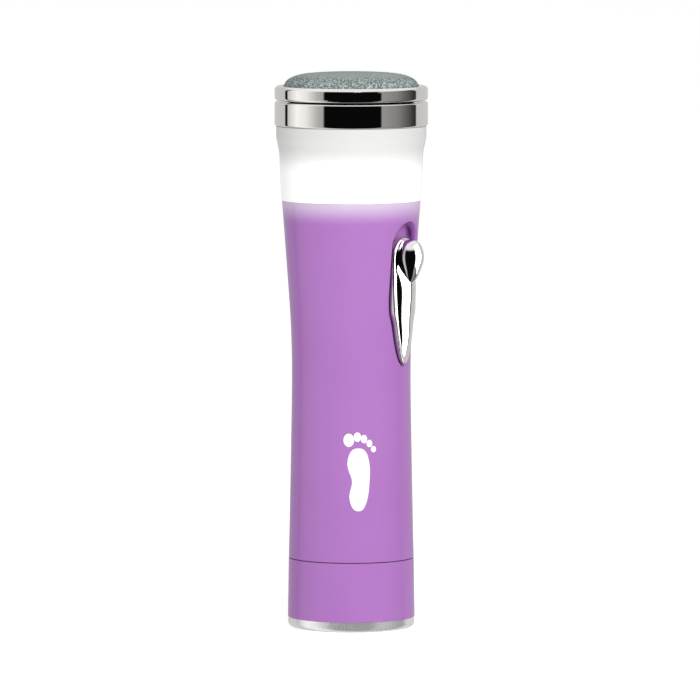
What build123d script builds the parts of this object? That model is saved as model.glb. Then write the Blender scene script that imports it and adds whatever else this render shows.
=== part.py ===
from build123d import *
import os
from math import acos, cos, pi, radians, sin, tan

# Battery powered callus remover: a waisted round handle with a spinning, domed abrasive disc on its head.
#
# Millimetres. +Z runs up the handle from the foot's underside, which is at Z 0, and the thumb switch faces
# -Y. A motor on the handle's axis turns the disc through two equal spur gear stages, whose idler is at +Y.
# The battery cap, with the foot, pulls off downwards and lets out two AA cells.

# ---- driving dimensions -------------------------------------------------------------------------------------
HEAD_RADIUS = 22.5             # chrome collar and disc rim
WALL = 1.8                     # moulded wall of the handle
SEAM = 0.1                     # half of each visible seam
SEAM_ROUND = 0.2               # rounding of the edges at the battery cap's seam
FOOT_TOP = 3.1
CAP_TOP = 20.5
HANDLE_TOP = 125.7
WINDOW_TOP = 147.6
COLLAR_TOP = 154.8
RIM_BOTTOM = 155.15
RIM_TOP = 159.4
DOME_TOP = 163.4

CAP_RADIUS_LOW = 18.7
CAP_RADIUS_HIGH = 18.45
WAIST_RADIUS = 17.5
WAIST_HEIGHT = 78.0
HANDLE_PROFILE = [             # (radius, height) of the handle's outside
    (CAP_RADIUS_HIGH, CAP_TOP + SEAM), (18.05, 38.0), (17.65, 60.0), (WAIST_RADIUS, WAIST_HEIGHT),
    (17.95, 92.0), (18.85, 105.0), (19.8, 118.0), (20.4, HANDLE_TOP)]
WINDOW_PROFILE = [(20.42, HANDLE_TOP + SEAM), (21.0, 136.0), (21.45, 141.5), (22.05, 145.0)]

BAY_RADIUS = 15.6              # battery bay inside the handle
LEDGE_BOTTOM = 63.2            # ledge that carries the sleeve below and the motor frame above
LEDGE_TOP = 65.0
LEDGE_SCREWS = ((0, 12.6), (0, -12.6))
SLEEVE_RADIUS = 15.4
SLEEVE_BOTTOM = 11.5
SLEEVE_TOP = 63.0
SLEEVE_CEILING = 61.6
CELL_RADIUS = 7.1
CELL_BODY = 49.3
CELL_NUB = 1.0
CELL_OFFSET = 7.3              # each cell's axis from the handle's axis
CELL_UP_BOTTOM = 10.6
CELL_DOWN_BOTTOM = 9.2

POCKET_FLOOR = 16.1            # switch pocket's floor, from the axis
PAD_INNER = 14.7               # inside of the pocket's floor
POCKET_RADIUS = 6.85
POCKET_CENTRE = 113.2
POCKET_TIP = 77.6
SLOT_CENTRE = 107.2
BUTTON_GAP = 0.4               # button to pocket wall

MOTOR_BOTTOM = 68.0
MOTOR_TOP = 93.0
MOTOR_RADIUS = 10.2
MOTOR_FLAT = 7.7               # half the motor's thickness across its flats
FRAME_RADIUS = 15.2
PLATE_TOP = 95.0
UPPER_PLATE_BOTTOM = 108.5
UPPER_PLATE_TOP = 110.3

MODULE = 0.5
PINION_TEETH = 10
WHEEL_TEETH = 26
CENTRES = MODULE * (PINION_TEETH + WHEEL_TEETH) / 2
PRESSURE_ANGLE = radians(20)
BACKLASH = 0.12
SHAFT_RADIUS = 2.0
PIN_RADIUS = 1.0               # motor shaft and idler pin
RUNNING = 0.04                 # radial clearance of a shaft in its bush

BOARD_FRONT = 9.1
BOARD_BACK = 7.9
LED_BOARD_BOTTOM = 126.2
LED_BOARD_TOP = 127.4

os.makedirs("parts", exist_ok=True)


def save(sub_part, name):
    """Labels one finished sub-part and writes its STEP file."""
    sub_part.part.label = name
    export_step(sub_part.part, f"parts/{name}.step")


def front_plane(distance):
    """A plane facing -Y at that distance in front of the axis. Its sketch X is +X and its sketch Y is +Z."""
    return Plane(origin=(0, -distance, 0), x_dir=(1, 0, 0), z_dir=(0, -1, 0))


def disc(low, high, outer, inner=0.0, places=((0.0, 0.0),), mode=Mode.ADD):
    """Adds or cuts an upright disc or tube between two heights, at each place."""
    with BuildSketch(Plane.XY.offset(low), mode=Mode.PRIVATE) as outline:
        with Locations(*places):
            Circle(outer)
            if inner:
                Circle(inner, mode=Mode.SUBTRACT)
    extrude(outline.sketch, amount=high - low, mode=mode)


def hole(low, high, radius, places=((0.0, 0.0),)):
    """Cuts round holes along Z at each place."""
    disc(low, high, radius, places=places, mode=Mode.SUBTRACT)


def block(low, high, width, depth, places=((0.0, 0.0),), mode=Mode.ADD):
    """Adds or cuts an upright block between two heights, at each place."""
    with BuildSketch(Plane.XY.offset(low), mode=Mode.PRIVATE) as outline:
        with Locations(*places):
            Rectangle(width, depth)
    extrude(outline.sketch, amount=high - low, mode=mode)


def front_block(back, front, width, height, places, corner=0.0, mode=Mode.ADD):
    """Adds or cuts a block between two distances in front of the axis. Places are (x, z) of its centre."""
    with BuildSketch(front_plane(back), mode=Mode.PRIVATE) as outline:
        with Locations(*places):
            if corner:
                RectangleRounded(width, height, corner)
            else:
                Rectangle(width, height)
    extrude(outline.sketch, amount=front - back, mode=mode)


def screws(places, seat, head_radius, length, radius, up=True):
    """Adds pan-head screws with a cross recess, their heads above the seat, or below it when up is False."""
    head = 1.2
    recess = 0.6
    side = 1 if up else -1
    facing = Plane.XY.offset(seat) if up else Plane(origin=(0, 0, seat), x_dir=(1, 0, 0), z_dir=(0, 0, -1))
    signed = [(x, side * y) for x, y in places]
    with BuildSketch(facing, mode=Mode.PRIVATE) as head_outline:
        with Locations(*signed):
            Circle(head_radius)
    extrude(head_outline.sketch, amount=head)
    with BuildSketch(facing, mode=Mode.PRIVATE) as shank:
        with Locations(*signed):
            Circle(radius)
    extrude(shank.sketch, amount=-length)
    with BuildSketch(facing.offset(head), mode=Mode.PRIVATE) as cross:
        with Locations(*signed):
            Rectangle(head_radius * 1.2, 0.5)
            Rectangle(0.5, head_radius * 1.2)
    extrude(cross.sketch, amount=-recess, mode=Mode.SUBTRACT)


def gear_points(teeth, tooth_angle):
    """Outline of an involute spur gear, with one tooth centred on tooth_angle (radians)."""
    pitch = MODULE * teeth / 2
    base = pitch * cos(PRESSURE_ANGLE)
    tip = pitch + 0.8 * MODULE
    root = pitch - 1.2 * MODULE
    involute_at_pitch = tan(PRESSURE_ANGLE) - PRESSURE_ANGLE
    half_at_pitch = pi / (2 * teeth) - BACKLASH / (2 * pitch)

    def half_angle(radius):
        if radius < base:
            return half_at_pitch + involute_at_pitch - 0.35 * (base - radius) / pitch
        slope = acos(base / radius)
        return half_at_pitch + involute_at_pitch - (tan(slope) - slope)

    start = max(root, base)
    radii = [start + (tip - start) * step / 3 for step in range(4)]
    if root < base:
        radii.insert(0, root)
    points = []
    for tooth in range(teeth):
        centre = tooth_angle + 2 * pi * tooth / teeth
        flank = [(radius, centre - half_angle(radius)) for radius in radii]
        flank += [(radius, centre + half_angle(radius)) for radius in reversed(radii)]
        points += [(radius * cos(angle), radius * sin(angle)) for radius, angle in flank]
    return points


def gear(low, high, teeth, tooth_angle, place=(0.0, 0.0)):
    """Adds a spur gear between two heights, its axis at that place."""
    x, y = place
    with BuildSketch(Plane.XY.offset(low), mode=Mode.PRIVATE) as outline:
        with BuildLine():
            Polyline(*[(x + px, y + py) for px, py in gear_points(teeth, tooth_angle)], close=True)
        make_face()
    extrude(outline.sketch, amount=high - low)


def coil_spring(low, high, radius, turns, place):
    """Adds a coil spring of round wire that stands between two heights."""
    wire_radius = 0.3
    rise = high - low - 2 * wire_radius
    with BuildLine(mode=Mode.PRIVATE) as coil:
        Helix(rise / turns, rise, radius, center=(place[0], place[1], low + wire_radius))
    with BuildSketch(Plane(origin=coil.line @ 0, z_dir=coil.line % 0), mode=Mode.PRIVATE) as section:
        Circle(wire_radius)
    sweep(section.sketch, path=coil.line, is_frenet=True)


def lead(*corners, bend=2.4):
    """Adds an insulated lead of straight runs and tangent arcs."""
    with BuildLine(mode=Mode.PRIVATE) as route:
        FilletPolyline(*corners, radius=bend)
    with BuildSketch(Plane(origin=route.line @ 0, z_dir=route.line % 0), mode=Mode.PRIVATE) as section:
        Circle(0.6)
    sweep(section.sketch, path=route.line)


def teardrop(distance, shrink):
    """The switch's teardrop outline at that distance in front of the axis, shrunk all round."""
    radius = POCKET_RADIUS - shrink
    side_top = POCKET_CENTRE - 3.0
    with BuildSketch(front_plane(distance), mode=Mode.PRIVATE) as outline:
        with BuildLine():
            left = Spline((0, POCKET_TIP + shrink), (-2.9 + 0.8 * shrink, 81.0), (-5.3 + shrink, 90.0),
                          (-radius, side_top), tangents=((-1, 0.35), (0, 1)))
            Line(left @ 1, (-radius, POCKET_CENTRE))
            RadiusArc((-radius, POCKET_CENTRE), (radius, POCKET_CENTRE), radius)
            Line((radius, POCKET_CENTRE), (radius, side_top))
            mirror(left, about=Plane.YZ)
        make_face()
    return outline.sketch


def motor_outline(height, grow):
    """The motor's outline at that height: round, with a flat at the front and the back."""
    with BuildSketch(Plane.XY.offset(height), mode=Mode.PRIVATE) as outline:
        Circle(MOTOR_RADIUS + grow)
        Rectangle(2 * MOTOR_RADIUS + 2, 2 * (MOTOR_FLAT + grow), mode=Mode.INTERSECT)
    return outline.sketch


# ---- handle -------------------------------------------------------------------------------------------------
PAD_BOTTOM = 74.0              # the pocket's floor is thickened inward over this height
PAD_TOP = 121.3
with BuildPart() as cavity:
    inner = [(radius - WALL, height) for radius, height in HANDLE_PROFILE[3:]]
    with BuildSketch(Plane.XZ):
        with BuildLine():
            Polyline((0, HANDLE_TOP), (0, LEDGE_TOP), (inner[0][0], LEDGE_TOP), inner[0])
            wall = Spline(*inner, tangents=((0, 1), (0.08, 1)))
            Line(wall @ 1, (0, HANDLE_TOP))
        make_face()
    revolve(axis=Axis.Z)
    pad_height = PAD_TOP - PAD_BOTTOM
    front_block(PAD_INNER, 30.0, 20.0, pad_height, ((0, PAD_BOTTOM + pad_height / 2),), mode=Mode.SUBTRACT)

with BuildPart() as handle_shell:
    with BuildSketch(Plane.XZ):
        with BuildLine():
            outside = Spline(*HANDLE_PROFILE, tangents=((-0.03, 1), (0.08, 1)))
            Polyline(outside @ 1, (0, HANDLE_TOP), (0, CAP_TOP + SEAM), outside @ 0)
        make_face()
    revolve(axis=Axis.Z)
    add(cavity.part, mode=Mode.SUBTRACT)
    hole(CAP_TOP, LEDGE_BOTTOM, BAY_RADIUS)
    hole(LEDGE_BOTTOM, LEDGE_TOP, 11.0)
    hole(LEDGE_BOTTOM, LEDGE_TOP, 0.85, LEDGE_SCREWS)
    extrude(teardrop(POCKET_FLOOR, 0), amount=8.0, mode=Mode.SUBTRACT)
    mouth = handle_shell.edges().filter_by(GeomType.BSPLINE).filter_by_position(Axis.Y, -21.0, -16.5)
    fillet(mouth.filter_by_position(Axis.Z, PAD_BOTTOM, PAD_TOP), 0.5)
    with BuildSketch(front_plane(PAD_INNER - 1.0)):
        with Locations((0, SLOT_CENTRE)):
            SlotOverall(13.0, 3.6, rotation=90)
    extrude(amount=4.0, mode=Mode.SUBTRACT)
    rims = handle_shell.edges().filter_by(GeomType.CIRCLE)
    fillet(rims.group_by(Axis.Z)[0].sort_by(SortBy.RADIUS)[-1], SEAM_ROUND)

# ---- lit window under the head ------------------------------------------------------------------------------
WINDOW_BORE = 18.5
LIGHT_BORE = 16.6
SPIGOT_RADIUS = 18.0
SPIGOT_BOTTOM = 121.5
POST_RING = 15.6
POST_BOTTOM = 138.0
POST_PLACES = [(POST_RING * cos(radians(a)), POST_RING * sin(radians(a))) for a in (90, 210, 330)]
with BuildPart() as window_ring:
    with BuildSketch(Plane.XZ):
        with BuildLine():
            side = Spline(*WINDOW_PROFILE, tangents=((0.1, 1), (0, 1)))
            Polyline(side @ 1, (WINDOW_PROFILE[-1][0], WINDOW_TOP), (WINDOW_BORE, WINDOW_TOP),
                     (WINDOW_BORE, LED_BOARD_BOTTOM), (LIGHT_BORE, LED_BOARD_BOTTOM),
                     (LIGHT_BORE, SPIGOT_BOTTOM), (SPIGOT_RADIUS, SPIGOT_BOTTOM),
                     (SPIGOT_RADIUS, HANDLE_TOP + SEAM), side @ 0)
        make_face()
    revolve(axis=Axis.Z)
    with BuildSketch(Plane.XY.offset(POST_BOTTOM)):
        with Locations(*POST_PLACES):
            Circle(2.2)
        with PolarLocations(POST_RING + 1.6, 3, start_angle=90):
            Rectangle(3.2, 2.4)
    extrude(amount=WINDOW_TOP - POST_BOTTOM)
    hole(POST_BOTTOM + 1.5, WINDOW_TOP, 0.75, POST_PLACES)

DECK_BOTTOM = 148.6
with BuildPart() as head_collar:
    disc(WINDOW_TOP + SEAM, COLLAR_TOP, HEAD_RADIUS, 19.3)
    fillet(head_collar.edges().filter_by(GeomType.CIRCLE).group_by(SortBy.RADIUS)[-1], 0.55)
    disc(WINDOW_TOP + SEAM, DECK_BOTTOM - 0.1, 19.5, 17.6)

DECK_TOP = 150.8
BEARING_RADIUS = 4.0
BEARING_BOTTOM = 144.4
SEAL_BOTTOM = 148.6
DECK_BOSS_TOP = 151.4
DECK_SEAT = DECK_TOP - 1.2     # where the deck screws' heads sit
with BuildPart() as head_deck:
    disc(DECK_BOTTOM, DECK_TOP, 19.1)
    disc(WINDOW_TOP + SEAM, DECK_BOTTOM, 17.3)
    disc(BEARING_BOTTOM - 0.8, WINDOW_TOP + SEAM, 6.5)
    disc(DECK_TOP, DECK_BOSS_TOP, 6.0)
    disc(DECK_TOP - 0.6, DECK_TOP, 18.0, 8.5, mode=Mode.SUBTRACT)
    hole(BEARING_BOTTOM - 0.8, BEARING_BOTTOM, SHAFT_RADIUS + 0.5)
    hole(BEARING_BOTTOM, DECK_BOSS_TOP, BEARING_RADIUS)
    hole(WINDOW_TOP, DECK_TOP, 1.15, POST_PLACES)
    hole(DECK_SEAT, DECK_TOP, 2.1, POST_PLACES)

with BuildPart() as deck_screws:
    screws(POST_PLACES, DECK_SEAT, 1.9, 7.0, 0.75)

# ---- battery cap and foot -----------------------------------------------------------------------------------
CAP_FLOOR = 7.4
CAP_BORE = 15.8
CAP_GROOVE = 15.9
FOOT_SCREWS = ((0, 10.6), (0, -10.6))
FOOT_SEAT = 6.0
with BuildPart() as battery_cap:
    with BuildSketch(Plane.XZ):
        with BuildLine():
            Polyline((0, FOOT_TOP), (CAP_RADIUS_LOW, FOOT_TOP), (CAP_RADIUS_HIGH, CAP_TOP - SEAM),
                     (0, CAP_TOP - SEAM), close=True)
        make_face()
    revolve(axis=Axis.Z)
    hole(CAP_FLOOR, CAP_TOP, CAP_BORE)
    hole(CAP_GROOVE, CAP_GROOVE + 1.7, 17.1)
    hole(FOOT_TOP, FOOT_TOP + 1.6, 12.2)
    hole(FOOT_TOP, CAP_FLOOR, 0.9, FOOT_SCREWS)
    hole(FOOT_SEAT, CAP_FLOOR, 2.1, FOOT_SCREWS)
    hole(CAP_FLOOR - 2.0, CAP_FLOOR, 0.7)
    rims = battery_cap.edges().filter_by(GeomType.CIRCLE)
    fillet(rims.group_by(Axis.Z)[-1].sort_by(SortBy.RADIUS)[-1], SEAM_ROUND)

with BuildPart() as base_foot:
    disc(0, FOOT_TOP - SEAM / 2, 18.6)
    fillet(base_foot.edges().group_by(Axis.Z)[0], 1.4)
    disc(FOOT_TOP - SEAM / 2, FOOT_TOP + 1.5, 12.0)
    disc(0, 0.5, 15.0, 14.0, mode=Mode.SUBTRACT)
    hole(1.4, FOOT_TOP + 1.5, 0.7, FOOT_SCREWS)

with BuildPart() as foot_screws:
    screws(FOOT_SCREWS, FOOT_SEAT, 1.9, 4.2, 0.7)

with BuildPart() as cap_seal:
    with BuildSketch(Plane.XZ):
        with Locations((16.35, CAP_GROOVE + 0.85)):
            Circle(0.7)
    revolve(axis=Axis.Z)

CONTACT_TOP = CAP_FLOOR + 0.4
with BuildPart() as cap_contact:
    with BuildSketch(Plane.XY.offset(CAP_FLOOR)):
        SlotOverall(26.0, 9.0)
    extrude(amount=CONTACT_TOP - CAP_FLOOR)
    with BuildSketch(Plane.XY.offset(CONTACT_TOP)):
        with Locations((-CELL_OFFSET, 0)):
            Circle(2.2)
    extrude(amount=0.35, taper=30)
    hole(CAP_FLOOR, CONTACT_TOP, 0.9)

with BuildPart() as contact_screw:
    screws(((0, 0),), CONTACT_TOP, 1.9, 2.0, 0.7)

with BuildPart() as cap_spring:
    coil_spring(CONTACT_TOP + 0.05, CELL_UP_BOTTOM - 0.05, 3.2, 2.5, (CELL_OFFSET, 0))

# ---- cells and battery sleeve -------------------------------------------------------------------------------
with BuildPart() as cell_up:
    with BuildSketch(Plane.XY.offset(CELL_UP_BOTTOM)):
        with Locations((CELL_OFFSET, 0)):
            Circle(CELL_RADIUS)
    extrude(amount=CELL_BODY)
    fillet(cell_up.edges().filter_by(GeomType.CIRCLE), 0.5)
    disc(CELL_UP_BOTTOM + CELL_BODY, CELL_UP_BOTTOM + CELL_BODY + CELL_NUB, 2.7, places=((CELL_OFFSET, 0),))

with BuildPart() as cell_down:
    with BuildSketch(Plane.XY.offset(CELL_DOWN_BOTTOM)):
        with Locations((-CELL_OFFSET, 0)):
            Circle(CELL_RADIUS)
    extrude(amount=CELL_BODY)
    fillet(cell_down.edges().filter_by(GeomType.CIRCLE), 0.5)
    disc(CELL_DOWN_BOTTOM - CELL_NUB, CELL_DOWN_BOTTOM, 2.7, places=((-CELL_OFFSET, 0),))

SLEEVE_SEAT = 59.0
TAB_DISTANCE = 3.5             # each upper contact's tab, in front of its cell's axis
TAB_PLACES = ((CELL_OFFSET, -TAB_DISTANCE), (-CELL_OFFSET, -TAB_DISTANCE))
with BuildPart() as battery_sleeve:
    disc(SLEEVE_BOTTOM, SLEEVE_TOP, SLEEVE_RADIUS)
    hole(SLEEVE_BOTTOM, SLEEVE_CEILING, CELL_RADIUS + 0.25, ((CELL_OFFSET, 0), (-CELL_OFFSET, 0)))
    hole(SLEEVE_BOTTOM, SLEEVE_TOP, 1.1, LEDGE_SCREWS)
    hole(SLEEVE_BOTTOM, SLEEVE_SEAT, 2.1, LEDGE_SCREWS)
    block(SLEEVE_CEILING, SLEEVE_TOP, 3.4, 1.2, TAB_PLACES, Mode.SUBTRACT)

with BuildPart() as sleeve_screws:
    screws(LEDGE_SCREWS, SLEEVE_SEAT, 1.9, 5.8, 0.8, up=False)


def upper_contact(side):
    """Adds a plate under the sleeve's ceiling, with a tab up through it."""
    plate_top = SLEEVE_CEILING - 0.05
    block(plate_top - 0.35, plate_top, 9.0, 9.0, ((side * CELL_OFFSET, 0),))
    block(plate_top - 0.1, LEDGE_TOP + 0.1, 3.0, 0.4, ((side * CELL_OFFSET, -TAB_DISTANCE),))


with BuildPart() as positive_contact:
    upper_contact(1)

with BuildPart() as negative_contact:
    upper_contact(-1)

with BuildPart() as sleeve_spring:
    coil_spring(CELL_DOWN_BOTTOM + CELL_BODY + 0.05, SLEEVE_CEILING - 0.45, 3.2, 2.5, (-CELL_OFFSET, 0))

# ---- motor and its frame ------------------------------------------------------------------------------------
MOTOR_SCREWS = ((5.8, 0), (-5.8, 0))
PILLARS = ((11.4, -2.5), (-11.4, -2.5), (9.9, 8.4), (-9.9, 8.4))
IDLER = (0, CENTRES)
BOARD_CUT = 7.7                # frame and upper plate end here, behind the control board
FRAME_BOTTOM = LEDGE_TOP + 0.05
POCKET_BOTTOM = 66.0
with BuildPart() as motor_frame:
    disc(FRAME_BOTTOM, PLATE_TOP, FRAME_RADIUS)
    extrude(motor_outline(POCKET_BOTTOM, 0.2), amount=MOTOR_TOP - POCKET_BOTTOM, mode=Mode.SUBTRACT)
    block(LEDGE_TOP, PLATE_TOP, 40.0, 20.0, ((0, -BOARD_CUT - 10.0),), Mode.SUBTRACT)
    block(LEDGE_TOP, MOTOR_TOP, 40.0, 20.0, ((0, 18.2),), Mode.SUBTRACT)
    hole(LEDGE_TOP, POCKET_BOTTOM, 9.0)
    block(LEDGE_TOP, POCKET_BOTTOM + 1.6, 4.0, 5.0, ((7.3, -5.7), (-7.3, -5.7)), Mode.SUBTRACT)
    hole(MOTOR_TOP, PLATE_TOP, 3.1)
    hole(MOTOR_TOP, PLATE_TOP, 0.9, MOTOR_SCREWS)
    hole(MOTOR_TOP, PLATE_TOP, PIN_RADIUS + 0.02, (IDLER,))

MOTOR_BOSS = 1.5               # height of the bearing boss on top of the can
with BuildPart() as motor_can:
    extrude(motor_outline(MOTOR_BOTTOM, 0), amount=MOTOR_TOP - MOTOR_BOTTOM)
    extrude(motor_outline(MOTOR_BOTTOM, -0.8), amount=MOTOR_TOP - MOTOR_BOTTOM - 0.8, mode=Mode.SUBTRACT)
    disc(MOTOR_TOP, MOTOR_TOP + MOTOR_BOSS, 3.0)
    hole(MOTOR_TOP - 1.0, MOTOR_TOP + MOTOR_BOSS, PIN_RADIUS + RUNNING)
    hole(MOTOR_TOP - 1.0, MOTOR_TOP, 0.75, MOTOR_SCREWS)

TERMINALS = ((5.5, -4.5), (-5.5, -4.5))
BELL_TOP = 71.0
with BuildPart() as motor_end_bell:
    extrude(motor_outline(MOTOR_BOTTOM, -0.85), amount=BELL_TOP - MOTOR_BOTTOM)
    disc(MOTOR_BOTTOM - 1.6, MOTOR_BOTTOM, 3.0)
    hole(MOTOR_BOTTOM - 1.0, BELL_TOP, PIN_RADIUS + RUNNING)
    block(MOTOR_BOTTOM, BELL_TOP, 2.0, 0.4, TERMINALS, Mode.SUBTRACT)

with BuildPart() as motor_terminals:
    block(65.4, 70.8, 2.0, 0.4, TERMINALS)

ARMATURE_BOTTOM = 72.5
ARMATURE_TOP = 89.5
with BuildPart() as motor_magnets:
    with BuildSketch(Plane.XY.offset(ARMATURE_BOTTOM)):
        Circle(MOTOR_RADIUS - 0.85)
        Circle(7.0, mode=Mode.SUBTRACT)
        Rectangle(30.0, 9.0, mode=Mode.INTERSECT)
    extrude(amount=ARMATURE_TOP - ARMATURE_BOTTOM)

with BuildPart() as motor_screws:
    screws(MOTOR_SCREWS, PLATE_TOP, 1.5, 2.6, 0.75)

# ---- gear train ---------------------------------------------------------------------------------------------
LOW_STAGE = 97.2
LOW_STAGE_TOP = 101.6
WHEEL_BOTTOM = 97.6
WHEEL_TOP = 100.6
HIGH_STAGE = 102.6
HIGH_STAGE_TOP = 106.0
TOOTH_BACK = pi / 2            # angle of a tooth that points at the idler
with BuildPart() as motor_shaft:
    disc(MOTOR_BOTTOM - 0.9, LOW_STAGE_TOP + 0.2, PIN_RADIUS)

with BuildPart() as motor_armature:
    disc(ARMATURE_BOTTOM, ARMATURE_TOP, 6.5, PIN_RADIUS)
    with BuildSketch(Plane.XY.offset(ARMATURE_BOTTOM)):
        with PolarLocations(5.4, 3):
            Rectangle(2.6, 1.6)
    extrude(amount=ARMATURE_TOP - ARMATURE_BOTTOM, mode=Mode.SUBTRACT)

with BuildPart() as motor_pinion:
    gear(LOW_STAGE, LOW_STAGE_TOP, PINION_TEETH, TOOTH_BACK)
    hole(LOW_STAGE, LOW_STAGE_TOP, PIN_RADIUS)

with BuildPart() as idler_gear:
    gear(WHEEL_BOTTOM, WHEEL_TOP, WHEEL_TEETH, -TOOTH_BACK + pi / WHEEL_TEETH, IDLER)
    gear(WHEEL_TOP, HIGH_STAGE_TOP + 0.6, PINION_TEETH, -TOOTH_BACK, IDLER)
    disc(PLATE_TOP + 0.4, WHEEL_BOTTOM, 2.2, places=(IDLER,))
    hole(PLATE_TOP, HIGH_STAGE_TOP + 0.6, PIN_RADIUS + RUNNING, (IDLER,))

with BuildPart() as idler_pin:
    disc(MOTOR_TOP, UPPER_PLATE_TOP, PIN_RADIUS, places=(IDLER,))

with BuildPart() as output_gear:
    gear(HIGH_STAGE, HIGH_STAGE_TOP, WHEEL_TEETH, TOOTH_BACK + pi / WHEEL_TEETH)
    disc(HIGH_STAGE_TOP, HIGH_STAGE_TOP + 1.2, 3.2)
    hole(HIGH_STAGE, HIGH_STAGE_TOP + 1.2, SHAFT_RADIUS)

with BuildPart() as upper_plate:
    disc(UPPER_PLATE_BOTTOM, UPPER_PLATE_TOP, FRAME_RADIUS)
    block(UPPER_PLATE_BOTTOM, UPPER_PLATE_TOP, 40.0, 20.0, ((0, -BOARD_CUT - 10.0),), Mode.SUBTRACT)
    hole(UPPER_PLATE_BOTTOM, UPPER_PLATE_TOP, 3.52)
    hole(UPPER_PLATE_BOTTOM, UPPER_PLATE_TOP, PIN_RADIUS + 0.02, (IDLER,))
    hole(UPPER_PLATE_BOTTOM, UPPER_PLATE_TOP, 0.9, PILLARS)

with BuildPart() as frame_pillars:
    with BuildSketch(Plane.XY.offset(PLATE_TOP)):
        with Locations(*PILLARS):
            RegularPolygon(2.1, 6)
    extrude(amount=UPPER_PLATE_BOTTOM - PLATE_TOP)
    hole(UPPER_PLATE_BOTTOM - 6.0, UPPER_PLATE_BOTTOM, 0.75, PILLARS)

with BuildPart() as plate_screws:
    screws(PILLARS, UPPER_PLATE_TOP, 1.6, 6.0, 0.75)

with BuildPart() as lower_bush:
    disc(UPPER_PLATE_BOTTOM, UPPER_PLATE_TOP + 0.8, 3.5, SHAFT_RADIUS + RUNNING)

with BuildPart() as head_bush:
    disc(BEARING_BOTTOM, SEAL_BOTTOM, BEARING_RADIUS - 0.02, SHAFT_RADIUS + RUNNING)

with BuildPart() as shaft_seal:
    disc(SEAL_BOTTOM, DECK_BOSS_TOP - 0.4, BEARING_RADIUS - 0.02, SHAFT_RADIUS + 0.9)
    disc(DECK_BOSS_TOP - 1.0, DECK_BOSS_TOP - 0.4, SHAFT_RADIUS + 1.0, SHAFT_RADIUS + RUNNING)

DRIVE_BOTTOM = 152.2
DRIVE_TOP = 156.6
SHAFT_TOP = DRIVE_TOP - 0.6
with BuildPart() as output_shaft:
    disc(HIGH_STAGE, SHAFT_TOP, SHAFT_RADIUS)

with BuildPart() as drive_head:
    with BuildSketch(Plane.XY.offset(DRIVE_BOTTOM)):
        RegularPolygon(5.0, 6)
    extrude(amount=DRIVE_TOP - DRIVE_BOTTOM)
    chamfer(drive_head.edges().group_by(Axis.Z)[-1], 0.6)
    hole(DRIVE_BOTTOM, SHAFT_TOP, SHAFT_RADIUS)

# ---- abrasive disc ------------------------------------------------------------------------------------------
HUB_STEP = 155.85
HUB_TOP = 157.6
RIM_BORE = 19.95
PAD_RADIUS = 19.8
SOCKET_BOTTOM = 152.0
with BuildPart() as disc_hub:
    disc(HUB_STEP, HUB_TOP, RIM_BORE - 0.05)
    disc(SOCKET_BOTTOM, HUB_STEP, 8.0)
    with BuildSketch(Plane.XY.offset(SOCKET_BOTTOM)):
        RegularPolygon(5.3, 6)
    extrude(amount=DRIVE_TOP + 0.2 - SOCKET_BOTTOM, mode=Mode.SUBTRACT)

with BuildPart() as disc_rim:
    disc(RIM_BOTTOM, RIM_TOP, HEAD_RADIUS, RIM_BORE)
    rim_edges = disc_rim.edges().filter_by(GeomType.CIRCLE).group_by(SortBy.RADIUS)[-1].sort_by(Axis.Z)
    fillet(rim_edges[-1], 1.2)
    rim_edges = disc_rim.edges().filter_by(GeomType.CIRCLE).group_by(Axis.Z)[0].sort_by(SortBy.RADIUS)
    fillet(rim_edges[-1], 0.9)
    disc(RIM_BOTTOM, HUB_STEP - 0.05, RIM_BORE + 0.2, 17.5)

CROWN = [(0, DOME_TOP), (11.7, DOME_TOP - 0.3), (16.7, DOME_TOP - 1.2), (18.6, DOME_TOP - 2.2),
         (PAD_RADIUS, DOME_TOP - 4.6)]
with BuildPart() as abrasive_pad:
    with BuildSketch(Plane.XZ):
        with BuildLine():
            crown = Spline(*CROWN, tangents=((1, 0), (0, -1)))
            Polyline(crown @ 1, (PAD_RADIUS, HUB_TOP + 0.05), (0, HUB_TOP + 0.05), (0, DOME_TOP))
        make_face()
    revolve(axis=Axis.Z)

# ---- thumb switch -------------------------------------------------------------------------------------------
BUTTON_BACK = POCKET_FLOOR + 0.3
FLANGE_FRONT = 18.3
BUTTON_RADIUS = POCKET_RADIUS - BUTTON_GAP
BUTTON_CENTRE = 108.95         # of the flange's round top, with the switch at rest
BULB = [(0, 101.4), (2.75, 105.0), (4.1, 110.1), (2.95, 113.6), (0, 114.8)]
BULB_DISTANCE = 19.86
TAIL = [                       # (height, half width, rise) of the tail's cross sections
    (78.2, 0.8, 0.9), (80.7, 2.3, 2.1), (85.0, 3.6, 3.1), (90.0, 4.7, 3.6), (96.0, 5.5, 4.1),
    (102.0, 5.9, 4.2), (107.0, 6.1, 2.9), (111.5, 5.6, 1.9), (114.8, 3.0, 1.0)]
PLATE_BACK = 13.4
PLATE_FRONT = 14.4
KNOB_CENTRE = 103.9
SCREW_HEIGHT = 107.2
with BuildPart() as bulb:
    with BuildSketch(Plane.XZ):
        with BuildLine():
            egg = Spline(*BULB, tangents=((1, 0.5), (-1, 0.05)))
            Line(egg @ 1, egg @ 0)
        make_face()
    revolve(axis=Axis.Z)
    split(bisect_by=Plane(origin=(0, BULB_DISTANCE - BUTTON_BACK, 0), z_dir=(0, -1, 0)), keep=Keep.TOP)

with BuildPart() as tail:
    for height, half_width, rise in TAIL:
        with BuildSketch(Plane.XY.offset(height)):
            with Locations((0, -BUTTON_BACK)):
                Ellipse(half_width, rise)
    loft()
    split(bisect_by=Plane(origin=(0, -BUTTON_BACK, 0), z_dir=(0, -1, 0)), keep=Keep.TOP)

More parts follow.
